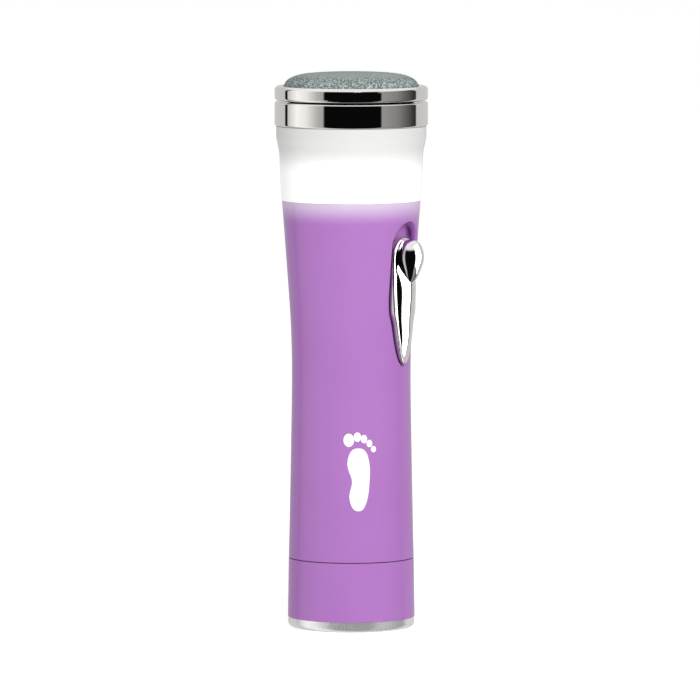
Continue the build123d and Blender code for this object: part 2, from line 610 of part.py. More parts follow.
with BuildPart() as switch_button:
    with BuildSketch(front_plane(BUTTON_BACK)):
        add(teardrop(0, BUTTON_GAP))
        with BuildSketch(mode=Mode.INTERSECT):
            with Locations((0, BUTTON_CENTRE)):
                Circle(BUTTON_RADIUS)
            with Locations((0, BUTTON_CENTRE - 20.0)):
                Rectangle(2 * BUTTON_RADIUS, 40.0)
    extrude(amount=FLANGE_FRONT - BUTTON_BACK)
    fillet(switch_button.faces().sort_by(Axis.Y)[0].edges(), 0.5)
    add(tail.part)
    add(bulb.part.moved(Location((0, -BULB_DISTANCE, 0))))
    front_block(PLATE_FRONT, BUTTON_BACK + 0.2, 3.0, 6.4, ((0, 105.2),))
    with BuildSketch(front_plane(PLATE_FRONT)):
        with Locations((0, SCREW_HEIGHT)):
            Circle(0.5)
    extrude(amount=1.8, mode=Mode.SUBTRACT)

with BuildPart() as switch_slider:
    front_block(PLATE_BACK, PLATE_FRONT, 10.0, 16.0, ((0, 105.0),), corner=1.5)
    front_block(PLATE_BACK, PLATE_FRONT, 2.0, 2.2, ((0, KNOB_CENTRE),), mode=Mode.SUBTRACT)
    with BuildSketch(front_plane(PLATE_BACK)):
        with Locations((0, SCREW_HEIGHT)):
            Circle(0.5)
    extrude(amount=PLATE_FRONT - PLATE_BACK, mode=Mode.SUBTRACT)

with BuildPart() as slider_screw:
    with BuildSketch(front_plane(PLATE_BACK - 0.6)):
        with Locations((0, SCREW_HEIGHT)):
            Circle(1.0)
    extrude(amount=0.6)
    with BuildSketch(front_plane(PLATE_BACK)):
        with Locations((0, SCREW_HEIGHT)):
            Circle(0.5)
    extrude(amount=2.6)

with BuildPart() as switch_knob:
    front_block(11.6, 14.2, 1.6, 1.8, ((0, KNOB_CENTRE),))

# ---- electronics --------------------------------------------------------------------------------------------
with BuildPart() as slide_switch_body:
    front_block(BOARD_FRONT, 12.6, 8.6, 14.0, ((0, 105.0),))
    front_block(11.2, 12.6, 2.2, 6.6, ((0, 105.9),), mode=Mode.SUBTRACT)

with BuildPart() as control_board:
    front_block(BOARD_BACK, BOARD_FRONT, 18.0, 40.0, ((0, 100.0),), corner=1.0)

with BuildPart() as board_capacitor:
    with BuildSketch(front_plane(BOARD_FRONT)):
        with Locations((5.5, 88.0)):
            Circle(2.0)
    extrude(amount=3.6)

with BuildPart() as driver_chip:
    front_block(BOARD_FRONT, BOARD_FRONT + 1.2, 4.0, 5.0, ((-4.0, 88.0),))

with BuildPart() as led_board:
    disc(LED_BOARD_BOTTOM, LED_BOARD_TOP, 17.9, 5.0)

with BuildPart() as leds:
    with BuildSketch(Plane.XY.offset(LED_BOARD_TOP)):
        with PolarLocations(12.0, 6, start_angle=30):
            Rectangle(3.5, 2.8)
    extrude(amount=0.9)

# ---- leads between the boards, the motor and the battery contacts -------------------------------------------
with BuildPart() as battery_lead_positive:
    lead((7.3, -4.35, 65.6), (7.3, -10.0, 66.4), (6.5, -9.9, 84.0))

with BuildPart() as battery_lead_negative:
    lead((-7.3, -4.35, 65.6), (-7.3, -10.0, 66.4), (-6.5, -9.9, 84.0))

with BuildPart() as motor_leads:
    lead((5.3, -5.4, 66.6), (3.4, -10.4, 67.6), (3.0, -9.9, 84.0))
    lead((-5.3, -5.4, 66.6), (-3.4, -10.4, 67.6), (-3.0, -9.9, 84.0))

with BuildPart() as led_leads:
    lead((2.0, -9.75, 116.0), (3.0, -9.75, 121.0), (3.0, -9.75, LED_BOARD_BOTTOM))
    lead((-2.0, -9.75, 116.0), (-3.0, -9.75, 121.0), (-3.0, -9.75, LED_BOARD_BOTTOM))

# ---- write every sub-part -----------------------------------------------------------------------------------
NODES = {
    "handle_shell": handle_shell, "window_ring": window_ring, "head_collar": head_collar,
    "head_deck": head_deck, "deck_screws": deck_screws, "battery_cap": battery_cap,
    "base_foot": base_foot, "foot_screws": foot_screws, "cap_seal": cap_seal,
    "cap_contact": cap_contact, "contact_screw": contact_screw, "cap_spring": cap_spring,
    "cell_up": cell_up, "cell_down": cell_down, "battery_sleeve": battery_sleeve,
    "sleeve_screws": sleeve_screws, "positive_contact": positive_contact,
    "negative_contact": negative_contact, "sleeve_spring": sleeve_spring,
    "motor_frame": motor_frame, "motor_can": motor_can, "motor_end_bell": motor_end_bell,
    "motor_terminals": motor_terminals, "motor_magnets": motor_magnets, "motor_screws": motor_screws,
    "motor_shaft": motor_shaft, "motor_armature": motor_armature, "motor_pinion": motor_pinion,
    "idler_gear": idler_gear, "idler_pin": idler_pin, "output_gear": output_gear,
    "upper_plate": upper_plate, "frame_pillars": frame_pillars, "plate_screws": plate_screws,
    "lower_bush": lower_bush, "head_bush": head_bush, "shaft_seal": shaft_seal,
    "output_shaft": output_shaft, "drive_head": drive_head, "disc_hub": disc_hub,
    "disc_rim": disc_rim, "abrasive_pad": abrasive_pad, "switch_button": switch_button,
    "switch_slider": switch_slider, "switch_knob": switch_knob, "slider_screw": slider_screw,
    "slide_switch_body": slide_switch_body, "control_board": control_board,
    "board_capacitor": board_capacitor, "driver_chip": driver_chip,
    "led_board": led_board, "leds": leds, "battery_lead_positive": battery_lead_positive,
    "battery_lead_negative": battery_lead_negative, "motor_leads": motor_leads, "led_leads": led_leads}
for node_name, sub_part in NODES.items():
    save(sub_part, node_name)
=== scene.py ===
"""Look of a battery callus remover: finishes for its CAD pieces, fine pieces added to them, and the studio.

Metres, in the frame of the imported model: +Z up the handle from the foot's underside, the thumb switch at -Y.
Sizes of pieces are fields in millimetres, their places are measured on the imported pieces, and the textures'
features and the studio are in metres.
"""
import logging
import math
from dataclasses import dataclass
from enum import Enum
from typing import Any, Iterable, Sequence

import bpy
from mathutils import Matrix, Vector


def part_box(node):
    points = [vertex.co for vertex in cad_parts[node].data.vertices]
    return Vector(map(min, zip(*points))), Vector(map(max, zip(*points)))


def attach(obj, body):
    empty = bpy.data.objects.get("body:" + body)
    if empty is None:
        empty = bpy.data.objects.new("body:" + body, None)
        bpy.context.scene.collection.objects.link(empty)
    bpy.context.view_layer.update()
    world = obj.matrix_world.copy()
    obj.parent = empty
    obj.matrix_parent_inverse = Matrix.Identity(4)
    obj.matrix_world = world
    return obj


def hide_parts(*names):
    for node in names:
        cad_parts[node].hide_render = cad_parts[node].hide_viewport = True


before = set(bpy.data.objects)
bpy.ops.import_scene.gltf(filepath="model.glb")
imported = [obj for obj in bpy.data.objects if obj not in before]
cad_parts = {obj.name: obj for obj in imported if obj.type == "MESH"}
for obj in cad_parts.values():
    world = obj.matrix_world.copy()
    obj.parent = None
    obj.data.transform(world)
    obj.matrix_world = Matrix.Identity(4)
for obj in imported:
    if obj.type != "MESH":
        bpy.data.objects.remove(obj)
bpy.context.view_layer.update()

MM = 0.001
Colour = tuple[float, float, float]
Point = tuple[float, float]
log = logging.getLogger("callus_remover")


class Body(Enum):
    """The rigid bodies that pieces ride on."""

    BASE = "base"
    CELLS = "cells"
    HANDLE = "handle"
    SPINDLE = "spindle"
    DISC = "disc"
    SWITCH = "switch"


class Polarity(Enum):
    """Which end of a battery cell is up."""

    UP = 1
    DOWN = -1


# ---- shader building -------------------------------------------------------------------------------------
class Shader:
    """One procedural material, built node by node on Object coordinates."""

    def __init__(self, name: str) -> None:
        """Starts a material with an empty principled surface.

        Args:
            name: The material's name.
        """
        self.material = bpy.data.materials.new(name)
        self.material.use_nodes = True
        self.tree = self.material.node_tree
        self.surface = self.tree.nodes["Principled BSDF"]
        self.place = self.node("ShaderNodeTexCoord").outputs["Object"]

    def node(self, kind: str, **settings: Any) -> bpy.types.Node:
        """Adds a node.

        Args:
            kind: The node's type.
            settings: Properties to set on it.

        Returns:
            The node.
        """
        made = self.tree.nodes.new(kind)
        for key, value in settings.items():
            setattr(made, key, value)
        return made

    def feed(self, socket: bpy.types.NodeSocket, value: Any) -> None:
        """Links an output to a socket, or sets the socket's own value.

        Args:
            socket: The input.
            value: An output socket or a constant.
        """
        if isinstance(value, bpy.types.NodeSocket):
            self.tree.links.new(value, socket)
        else:
            socket.default_value = value

    def fix(self, **values: Any) -> None:
        """Sets the surface's own sockets, named with underscores for spaces."""
        for key, value in values.items():
            self.feed(self.surface.inputs[key.replace("_", " ")], value)

    def math(self, operation: str, first: Any, second: Any = 0.0, clamp: bool = False) -> bpy.types.NodeSocket:
        """Adds a math node of two inputs.

        Args:
            operation: What it works out.
            first: The first input.
            second: The second input.
            clamp: True to hold the result between 0 and 1.

        Returns:
            The result's socket.
        """
        made = self.node("ShaderNodeMath", operation=operation, use_clamp=clamp)
        self.feed(made.inputs[0], first)
        self.feed(made.inputs[1], second)
        return made.outputs[0]

    def axis(self, letter: str) -> bpy.types.NodeSocket:
        """Takes one component of the place on the piece.

        Args:
            letter: X, Y or Z.

        Returns:
            Its socket, in metres.
        """
        split = self.node("ShaderNodeSeparateXYZ")
        self.feed(split.inputs[0], self.place)
        return split.outputs[letter]

    def radial(self, x: float = 0.0, y: float = 0.0) -> bpy.types.NodeSocket:
        """Measures the distance from an upright axis.

        Args:
            x: The axis's place along X in metres.
            y: Its place along Y.

        Returns:
            The distance's socket, in metres.
        """
        across = self.math("SUBTRACT", self.axis("X"), x)
        along = self.math("SUBTRACT", self.axis("Y"), y)
        square = self.math("ADD", self.math("MULTIPLY", across, across), self.math("MULTIPLY", along, along))
        return self.math("SQRT", square)

    def span(self, value: Any, low: float, high: float) -> bpy.types.NodeSocket:
        """Maps a value smoothly from low..high to 0..1, held at both ends.

        Args:
            value: What is mapped.
            low: Where 0 is reached.
            high: Where 1 is reached.

        Returns:
            The mapped value's socket.
        """
        made = self.node("ShaderNodeMapRange", interpolation_type="SMOOTHSTEP")
        self.feed(made.inputs["Value"], value)
        made.inputs["From Min"].default_value = low
        made.inputs["From Max"].default_value = high
        return made.outputs["Result"]

    def noise(self, size: float, detail: float = 3.0, stretch: Sequence[float] = (1.0, 1.0, 1.0),
              roughness: float = 0.55) -> bpy.types.NodeSocket:
        """Noise whose features are about size metres across.

        Args:
            size: Width of a feature in metres.
            detail: Octaves of finer noise.
            stretch: How much finer it is along each axis.
            roughness: Strength of the finer octaves.

        Returns:
            The noise value's socket.
        """
        mapping = self.node("ShaderNodeMapping")
        self.feed(mapping.inputs["Vector"], self.place)
        mapping.inputs["Scale"].default_value = stretch
        made = self.node("ShaderNodeTexNoise")
        self.feed(made.inputs["Vector"], mapping.outputs[0])
        made.inputs["Scale"].default_value = 1.0 / size
        made.inputs["Detail"].default_value = detail
        made.inputs["Roughness"].default_value = roughness
        return made.outputs["Fac"]

    def cells(self, size: float, feature: str = "F1") -> bpy.types.Node:
        """Adds Voronoi cells.

        Args:
            size: Width of a cell in metres.
            feature: Which measure of the cells is given.

        Returns:
            The texture's node.
        """
        made = self.node("ShaderNodeTexVoronoi", feature=feature)
        self.feed(made.inputs["Vector"], self.place)
        made.inputs["Scale"].default_value = 1.0 / size
        return made

    def ramp(self, value: Any, *stops: tuple[float, Colour], step: bool = False) -> bpy.types.NodeSocket:
        """A colour ramp over 0..1.

        Args:
            value: What runs along the ramp.
            stops: Positions and their colours.
            step: True for hard borders between the colours.

        Returns:
            The colour's socket.
        """
        made = self.node("ShaderNodeValToRGB")
        made.color_ramp.interpolation = "CONSTANT" if step else "LINEAR"
        elements = made.color_ramp.elements
        while len(elements) < len(stops):
            elements.new(0.5)
        for element, (position, colour) in zip(elements, stops):
            element.position = position
            element.color = (*colour, 1.0)
        self.feed(made.inputs["Fac"], value)
        return made.outputs["Color"]

    def mix(self, amount: Any, first: Any, second: Any, blend: str = "MIX") -> bpy.types.NodeSocket:
        """Mixes two colours.

        Args:
            amount: Share of the second colour.
            first: A colour or its socket.
            second: The other.
            blend: How they are mixed.

        Returns:
            The mixed colour's socket.
        """
        made = self.node("ShaderNodeMix", data_type="RGBA", blend_type=blend)
        self.feed(made.inputs["Factor"], amount)
        for socket, value in ((made.inputs[6], first), (made.inputs[7], second)):
            self.feed(socket, (*value, 1.0) if isinstance(value, tuple) else value)
        return made.outputs[2]

    def rough(self, value: Any, low: float, high: float) -> None:
        """Lets the roughness vary between two values.

        Args:
            value: What drives it, 0 to 1.
            low: Roughness where it is 0.
            high: Roughness where it is 1.
        """
        made = self.node("ShaderNodeMapRange")
        self.feed(made.inputs["Value"], value)
        made.inputs["To Min"].default_value = low
        made.inputs["To Max"].default_value = high
        self.feed(self.surface.inputs["Roughness"], made.outputs["Result"])

    def bump(self, height: Any, depth: float, strength: float = 1.0) -> None:
        """Adds relief to the surface, on top of any that is there.

        Args:
            height: The relief's height, 0 to 1.
            depth: Its depth in metres.
            strength: How much of it shows.
        """
        made = self.node("ShaderNodeBump")
        made.inputs["Distance"].default_value = depth
        made.inputs["Strength"].default_value = strength
        self.feed(made.inputs["Height"], height)
        if self.surface.inputs["Normal"].is_linked:
            self.feed(made.inputs["Normal"], self.surface.inputs["Normal"].links[0].from_socket)
        self.feed(self.surface.inputs["Normal"], made.outputs["Normal"])


# ---- finishes --------------------------------------------------------------------------------------------
@dataclass(frozen=True)
class ShellPlastic:
    """Glossy lavender plastic that pales where the lamp behind its top edge lights it, with painted shade deep
    in the switch's pocket.
    """

    name: str
    body: Colour = (0.365, 0.158, 0.445)
    deep: Colour = (0.335, 0.132, 0.415)
    pale: Colour = (0.600, 0.500, 0.650)
    # painted shade: the colour of the plastic deep in the switch's pocket
    recess: Colour = (0.085, 0.012, 0.130)
    fade_below: float = 6.6
    fade_above: float = 0.9

    def make(self) -> bpy.types.Material:
        """Builds the material.

        Returns:
            The material.
        """
        shader = Shader(self.name)
        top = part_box("handle_shell")[1].z
        drift = shader.noise(0.030, detail=2.0)
        base = shader.ramp(drift, (0.35, self.deep), (0.62, self.body))
        base = shader.mix(0.72, base, self.body)
        glow = shader.span(shader.axis("Z"), top - self.fade_below * MM, top + self.fade_above * MM)
        cloud = shader.math("MULTIPLY", shader.noise(0.012, detail=2.0), 0.25)
        glow = shader.math("MULTIPLY", glow, shader.math("SUBTRACT", 1.08, cloud), clamp=True)
        base = shader.mix(glow, base, self.pale)
        # painted shade darkens the plastic deep in the switch's pocket
        shader.fix(Base_Color=shader.mix(self.painted_pocket_shade(shader), base, self.recess))
        shader.rough(shader.noise(0.004, detail=4.0), 0.13, 0.21)
        shader.bump(shader.noise(0.0009, detail=3.0), 0.000012, 0.35)
        shader.fix(IOR=1.5, Specular_IOR_Level=0.22)
        return shader.material

    def painted_pocket_shade(self, shader: Shader) -> bpy.types.NodeSocket:
        """Where painted shade darkens the plastic in the switch's pocket, more so with depth.

        Args:
            shader: The material being built.

        Returns:
            A socket that is 0 on the open surface and 1 deep in the pocket.
        """
        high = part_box("switch_button")[1]
        front = shader.span(shader.axis("Y"), -12.0 * MM, -13.0 * MM)
        upper = shader.span(shader.axis("Z"), high.z - 6.0 * MM, high.z + 1.5 * MM)
        side = shader.span(shader.axis("X"), 2.5 * MM, 6.4 * MM)
        depth = shader.span(shader.radial(), 18.9 * MM, 17.3 * MM)
        amount = shader.math("MULTIPLY", shader.math("MULTIPLY", front, depth), upper)
        return shader.math("MULTIPLY", amount, side)


@dataclass(frozen=True)
class FrostedPlastic:
    """Frosted window plastic, lit from inside by the lamps on the board at its foot."""

    name: str
    lit: Colour = (0.80, 0.80, 0.80)
    dim: Colour = (0.61, 0.605, 0.60)

    def make(self) -> bpy.types.Material:
        """Builds the material.

        Returns:
            The material.
        """
        shader = Shader(self.name)
        low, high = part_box("window_ring")
        height = shader.math("ADD", shader.axis("Z"), shader.math("MULTIPLY", shader.noise(0.010), 0.0018))
        fade = shader.span(height, high.z - 13.5 * MM, high.z - 4.5 * MM)
        shader.fix(Base_Color=shader.mix(fade, self.lit, self.dim))
        glow = shader.mix(fade, (0.95, 0.95, 0.96), (0.10, 0.10, 0.10))
        shader.fix(Emission_Color=glow, Emission_Strength=0.22, IOR=1.45)
        shader.rough(shader.noise(0.002), 0.32, 0.42)
        shader.bump(shader.noise(0.0005), 0.00001, 0.3)
        return shader.material


@dataclass(frozen=True)
class Plating:
    """Mirror-bright chromium plating with the faintest polishing haze."""

    name: str
    tint: Colour = (0.90, 0.885, 0.875)
    haze: float = 0.045

    def make(self) -> bpy.types.Material:
        """Builds the material.

        Returns:
            The material.
        """
        shader = Shader(self.name)
        wipe = shader.noise(0.006, detail=5.0, stretch=(1.0, 1.0, 0.4))
        wiped = tuple(0.96 * part for part in self.tint)
        shader.fix(Base_Color=shader.ramp(wipe, (0.2, wiped), (0.8, self.tint)))
        shader.fix(Metallic=1.0)
        shader.rough(wipe, 0.012, self.haze)
        shader.bump(shader.noise(0.008, detail=2.0), 0.000008, 0.25)
        return shader.material


@dataclass(frozen=True)
class SatinMetal:
    """Turned or drawn metal with fine tool lines round its axis and duller patches."""

    name: str
    tint: Colour
    roughness: float = 0.3
    lines: float = 0.00025
    tarnish: float = 0.78
    metallic: float = 1.0

    def make(self) -> bpy.types.Material:
        """Builds the material.

        Returns:
            The material.
        """
        shader = Shader(self.name)
        patch = shader.noise(0.004, detail=4.0)
        dull = tuple(self.tarnish * part for part in self.tint)
        shader.fix(Base_Color=shader.ramp(patch, (0.3, dull), (0.62, self.tint)), Metallic=self.metallic)
        shader.rough(patch, self.roughness * 0.8, self.roughness * 1.4)
        shader.bump(shader.noise(self.lines, detail=2.0, stretch=(0.08, 0.08, 1.0)), 0.00001, 0.5)
        return shader.material


@dataclass(frozen=True)
class MouldedPlastic:
    """Plain moulded plastic or nylon with spark-eroded grain and slight colour drift."""

    name: str
    tint: Colour
    roughness: float = 0.45
    grain: float = 0.0006

    def make(self) -> bpy.types.Material:
        """Builds the material.

        Returns:
            The material.
        """
        shader = Shader(self.name)
        drift = shader.noise(0.008, detail=3.0)
        shade = tuple(0.84 * part for part in self.tint)
        shader.fix(Base_Color=shader.ramp(drift, (0.3, shade), (0.65, self.tint)), IOR=1.46)
        shader.rough(drift, self.roughness, self.roughness * 1.25)
        shader.bump(shader.noise(self.grain, detail=2.0), 0.00003, 0.5)
        return shader.material


@dataclass(frozen=True)
class Grit:
    """Bonded mineral grit: grey-green grains, light and dark, with resin between them, and a painted highlight
    on the crown.
    """

    name: str
    grain: float = 0.00042
    resin: Colour = (0.150, 0.190, 0.185)
    grains: tuple[Colour, ...] = ((0.130, 0.170, 0.165), (0.290, 0.360, 0.350), (0.430, 0.510, 0.490),
                                  (0.660, 0.740, 0.720))

    def make(self) -> bpy.types.Material:
        """Builds the material.

        Returns:
            The material.
        """
        shader = Shader(self.name)
        stones = shader.cells(self.grain)
        split = shader.node("ShaderNodeSeparateColor")
        shader.feed(split.inputs[0], stones.outputs["Color"])
        stops = tuple((0.08 + 0.25 * index, colour) for index, colour in enumerate(self.grains))
        colour = shader.ramp(split.outputs[0], *stops)
        gap = shader.span(stones.outputs["Distance"], 0.38, 0.72)
        colour = shader.mix(gap, colour, self.resin)
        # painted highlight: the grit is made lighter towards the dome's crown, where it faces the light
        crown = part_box("abrasive_pad")[1].z
        crown_highlight = shader.math("ADD", shader.axis("Z"), shader.math("MULTIPLY", shader.noise(0.003), 0.0008))
        crown_highlight = shader.math("MULTIPLY", shader.span(crown_highlight, crown - 1.4 * MM, crown - 0.1 * MM), 0.55)
        shader.fix(Base_Color=shader.mix(crown_highlight, colour, (0.52, 0.59, 0.575)))
        shader.rough(split.outputs[1], 0.55, 0.95)
        shader.bump(shader.math("SUBTRACT", 1.0, stones.outputs["Distance"]), 0.00016, 0.9)
        shader.bump(shader.noise(self.grain * 0.4), 0.00005, 0.6)
        return shader.material


@dataclass(frozen=True)
class Rubber:
    """Matt rubber or soft insulation with bloom and a faint mould grain."""

    name: str
    tint: Colour
    roughness: float = 0.6

    def make(self) -> bpy.types.Material:
        """Builds the material.

        Returns:
            The material.
        """
        shader = Shader(self.name)
        bloom = shader.noise(0.003, detail=4.0)
        pale = tuple(part + 0.025 for part in self.tint)
        shader.fix(Base_Color=shader.ramp(bloom, (0.4, self.tint), (0.75, pale)))
        shader.fix(Sheen_Weight=0.15, IOR=1.5)
        shader.rough(bloom, self.roughness, self.roughness + 0.2)
        shader.bump(shader.noise(0.0004), 0.00002, 0.5)
        return shader.material


@dataclass(frozen=True)
class SolderMask:
    """Printed circuit board: lacquer over copper tracks, with bare pads."""

    name: str
    lacquer: Colour
    copper: Colour
    track: float = 0.0022

    def make(self) -> bpy.types.Material:
        """Builds the material.

        Returns:
            The material.
        """
        shader = Shader(self.name)
        border = shader.cells(self.track, "DISTANCE_TO_EDGE").outputs["Distance"]
        track = shader.math("LESS_THAN", border, 0.055)
        colour = shader.mix(track, self.lacquer, self.copper)
        pads = shader.math("LESS_THAN", shader.cells(self.track * 1.7).outputs["Distance"], 0.11)
        shader.fix(Base_Color=shader.mix(pads, colour, (0.62, 0.60, 0.52)))
        shader.rough(pads, 0.22, 0.38)
        shader.bump(track, 0.00003, 0.6)
        return shader.material


@dataclass(frozen=True)
class CellJacket:
    """Printed jacket of a battery cell with a metallic band by its positive end, and bare steel ends."""

    name: str
    node: str
    polarity: Polarity
    jacket: Colour = (0.020, 0.060, 0.052)
    band: Colour = (0.640, 0.330, 0.130)
    steel: Colour = (0.640, 0.640, 0.650)

    def make(self) -> bpy.types.Material:
        """Builds the material.

        Returns:
            The material.
        """
        shader = Shader(self.name)
        low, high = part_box(self.node)
        along = shader.math("DIVIDE", shader.math("SUBTRACT", shader.axis("Z"), low.z), high.z - low.z)
        if self.polarity is Polarity.DOWN:
            along = shader.math("SUBTRACT", 1.0, along)
        colour = shader.ramp(along, (0.0, self.jacket), (0.655, self.steel), (0.665, self.band), step=True)
        axis_x = (low.x + high.x) / 2
        body_radius = (high.x - low.x) / 2
        bare = shader.math("LESS_THAN", shader.radial(axis_x), body_radius - 0.75 * MM)
        metal = shader.math("MAXIMUM", bare, 0.35)
        shader.fix(Base_Color=shader.mix(bare, colour, self.steel), Metallic=metal)
        shader.rough(shader.noise(0.003), 0.22, 0.34)
        shader.bump(shader.noise(0.0012), 0.00001, 0.4)
        return shader.material


@dataclass(frozen=True)
class Lamp:
    """Light-emitting diode package: yellow phosphor in a white cup."""

    name: str
    phosphor: Colour = (0.95, 0.86, 0.42)

    def make(self) -> bpy.types.Material:
        """Builds the material.

        Returns:
            The material.
        """
        shader = Shader(self.name)
        speckle = shader.noise(0.0006, detail=3.0)
        shader.fix(Base_Color=shader.ramp(speckle, (0.35, self.phosphor), (0.7, (0.98, 0.94, 0.74))))
        shader.fix(Emission_Color=shader.ramp(speckle, (0.0, (0.9, 0.9, 0.8)), (1.0, (1.0, 1.0, 1.0))))
        shader.fix(Emission_Strength=0.8)
        shader.rough(speckle, 0.2, 0.35)
        return shader.material


@dataclass(frozen=True)
class PrintInk:
    """Opaque pad-printed ink with slightly uneven cover."""

    name: str
    tint: Colour = (0.93, 0.92, 0.95)

    def make(self) -> bpy.types.Material:
        """Builds the material.

        Returns:
            The material.
        """
        shader = Shader(self.name)
        cover = shader.noise(0.0012, detail=4.0)
        thin = tuple(0.88 * part for part in self.tint)
        shader.fix(Base_Color=shader.ramp(cover, (0.3, thin), (0.55, self.tint)))
        shader.rough(cover, 0.3, 0.45)
        shader.bump(cover, 0.000008, 0.4)
        return shader.material


@dataclass(frozen=True)
class Felt:
    """Grey dust felt: short tangled fibres."""

    name: str
    tint: Colour = (0.16, 0.16, 0.17)

    def make(self) -> bpy.types.Material:
        """Builds the material.

        Returns:
            The material.
        """
        shader = Shader(self.name)
        fibre = shader.noise(0.0006, detail=6.0, stretch=(1.0, 0.35, 1.0), roughness=0.75)
        light = tuple(2.2 * part for part in self.tint)
        shader.fix(Base_Color=shader.ramp(fibre, (0.38, self.tint), (0.66, light)), Sheen_Weight=0.5)
        shader.rough(fibre, 0.88, 1.0)
        shader.bump(fibre, 0.00018, 0.9)
        return shader.material


# ---- modelling bench -------------------------------------------------------------------------------------
class Bench:
    """Modelling steps that the sub-assemblies share."""

    @staticmethod
    def clear() -> None:
        """Leaves edit mode and deselects everything."""
        if bpy.context.object and bpy.context.object.mode != "OBJECT":
            bpy.ops.object.mode_set(mode="OBJECT")
        bpy.ops.object.select_all(action="DESELECT")

    @staticmethod
    def finish(name: str, smooth: float = 35.0) -> bpy.types.Object:
        """Puts the active object's place in its mesh, turns its faces outwards and shades it smooth.

        Args:
            name: The piece's name.
            smooth: Largest angle in degrees between two faces that is still smoothed.

        Returns:
            The piece.
        """
        piece = bpy.context.object
        bpy.ops.object.transform_apply(location=True, rotation=True, scale=True)
        bpy.ops.object.mode_set(mode="EDIT")
        bpy.ops.mesh.select_all(action="SELECT")
        bpy.ops.mesh.remove_doubles(threshold=1e-7)
        bpy.ops.mesh.normals_make_consistent(inside=False)
        bpy.ops.object.mode_set(mode="OBJECT")
        bpy.ops.object.shade_smooth_by_angle(angle=math.radians(smooth))
        piece.name = name
        piece.data.name = name
        Bench.clear()
        return piece

    @staticmethod
    def apply(piece: bpy.types.Object, kind: str, **settings: Any) -> None:
        """Adds one modifier to a piece and applies it.

        Args:
            piece: The piece.
            kind: The modifier's type.
            settings: Properties to set on it.
        """
        Bench.clear()
        bpy.context.view_layer.objects.active = piece
        piece.select_set(True)
        modifier = piece.modifiers.new(kind.lower(), kind)
        for key, value in settings.items():
            setattr(modifier, key, value)
        bpy.ops.object.modifier_apply(modifier=modifier.name)

    @staticmethod
    def turn(outline: Sequence[Point], segments: int = 128, centre: Point = (0.0, 0.0)) -> bpy.types.Object:
        """Turns an outline about an upright axis, ring by ring.

        Args:
            outline: (radius, height) points in millimetres; a closed outline ends where it starts.
            segments: Steps round the axis.
            centre: (x, y) of the axis in millimetres.

        Returns:
            The active object, not yet finished.
        """
        Bench.clear()
        radius, height = outline[0]
        spot = (centre[0] * MM, centre[1] * MM, height * MM)
        bpy.ops.mesh.primitive_circle_add(vertices=segments, radius=radius * MM, location=spot)
        bpy.ops.object.mode_set(mode="EDIT")
        bpy.ops.mesh.select_all(action="SELECT")
        for (r_from, z_from), (r_to, z_to) in zip(outline, outline[1:]):
            rise = (0.0, 0.0, (z_to - z_from) * MM)
            bpy.ops.mesh.extrude_edges_move(TRANSFORM_OT_translate={"value": rise})
            grow = r_to / r_from
            middle = (centre[0] * MM, centre[1] * MM, z_to * MM)
            bpy.ops.transform.resize(value=(grow, grow, 1.0), center_override=middle)
        bpy.ops.object.mode_set(mode="OBJECT")
        return bpy.context.object

    @staticmethod
    def blank(outline: Sequence[Point], near: float, far: float, azimuth: float,
              height: float) -> bpy.types.Object:
        """A straight prism that points outwards from the handle's axis, for cutting a wrapped shape.

        Args:
            outline: Points of the flat shape in millimetres, x to the right and y up.
            near: Distance of its inner end from the axis, in millimetres.
            far: Distance of its outer end.
            azimuth: Direction it faces, in degrees round from the switch.
            height: Height of the outline's zero, in millimetres.

        Returns:
            The prism.
        """
        Bench.clear()
        bpy.ops.mesh.primitive_circle_add(vertices=len(outline), radius=MM, fill_type="NGON")
        prism = bpy.context.object
        for vertex, (x, y) in zip(prism.data.vertices, outline):
            vertex.co = (x * MM, y * MM, near * MM)
        bpy.ops.object.mode_set(mode="EDIT")
        bpy.ops.mesh.select_all(action="SELECT")
        bpy.ops.mesh.extrude_region_move(TRANSFORM_OT_translate={"value": (0.0, 0.0, (far - near) * MM)})
        bpy.ops.mesh.select_all(action="SELECT")
        bpy.ops.mesh.normals_make_consistent(inside=False)
        bpy.ops.object.mode_set(mode="OBJECT")
        prism.rotation_euler = (math.pi / 2, 0.0, math.radians(azimuth))
        prism.location = (0.0, 0.0, height * MM)
        bpy.ops.object.transform_apply(location=True, rotation=True, scale=True)
        return prism

    @staticmethod
    def wrap(skin: bpy.types.Object, prisms: Iterable[bpy.types.Object]) -> list[bpy.types.Object]:
        """Cuts a thin turned skin to the shape of each prism.

        Args:
            skin: The skin, which is used up.
            prisms: The cutters, which are used up.

        Returns:
            One thin piece for each prism.
        """
        made = []
        for prism in prisms:
            piece = skin.copy()
            piece.data = skin.data.copy()
            bpy.context.scene.collection.objects.link(piece)
            Bench.apply(piece, "BOOLEAN", operation="INTERSECT", object=prism, solver="EXACT")
            bpy.data.objects.remove(prism)
            made.append(piece)
        bpy.data.objects.remove(skin)
        return made

    @staticmethod
    def join(pieces: Sequence[bpy.types.Object]) -> bpy.types.Object:
        """Joins loose pieces into one.

        Args:
            pieces: The pieces.

        Returns:
            The joined piece, which is the active object.
        """
        Bench.clear()
        for piece in pieces:
            piece.select_set(True)
        bpy.context.view_layer.objects.active = pieces[0]
        if len(pieces) > 1:
            bpy.ops.object.join()
        return bpy.context.object

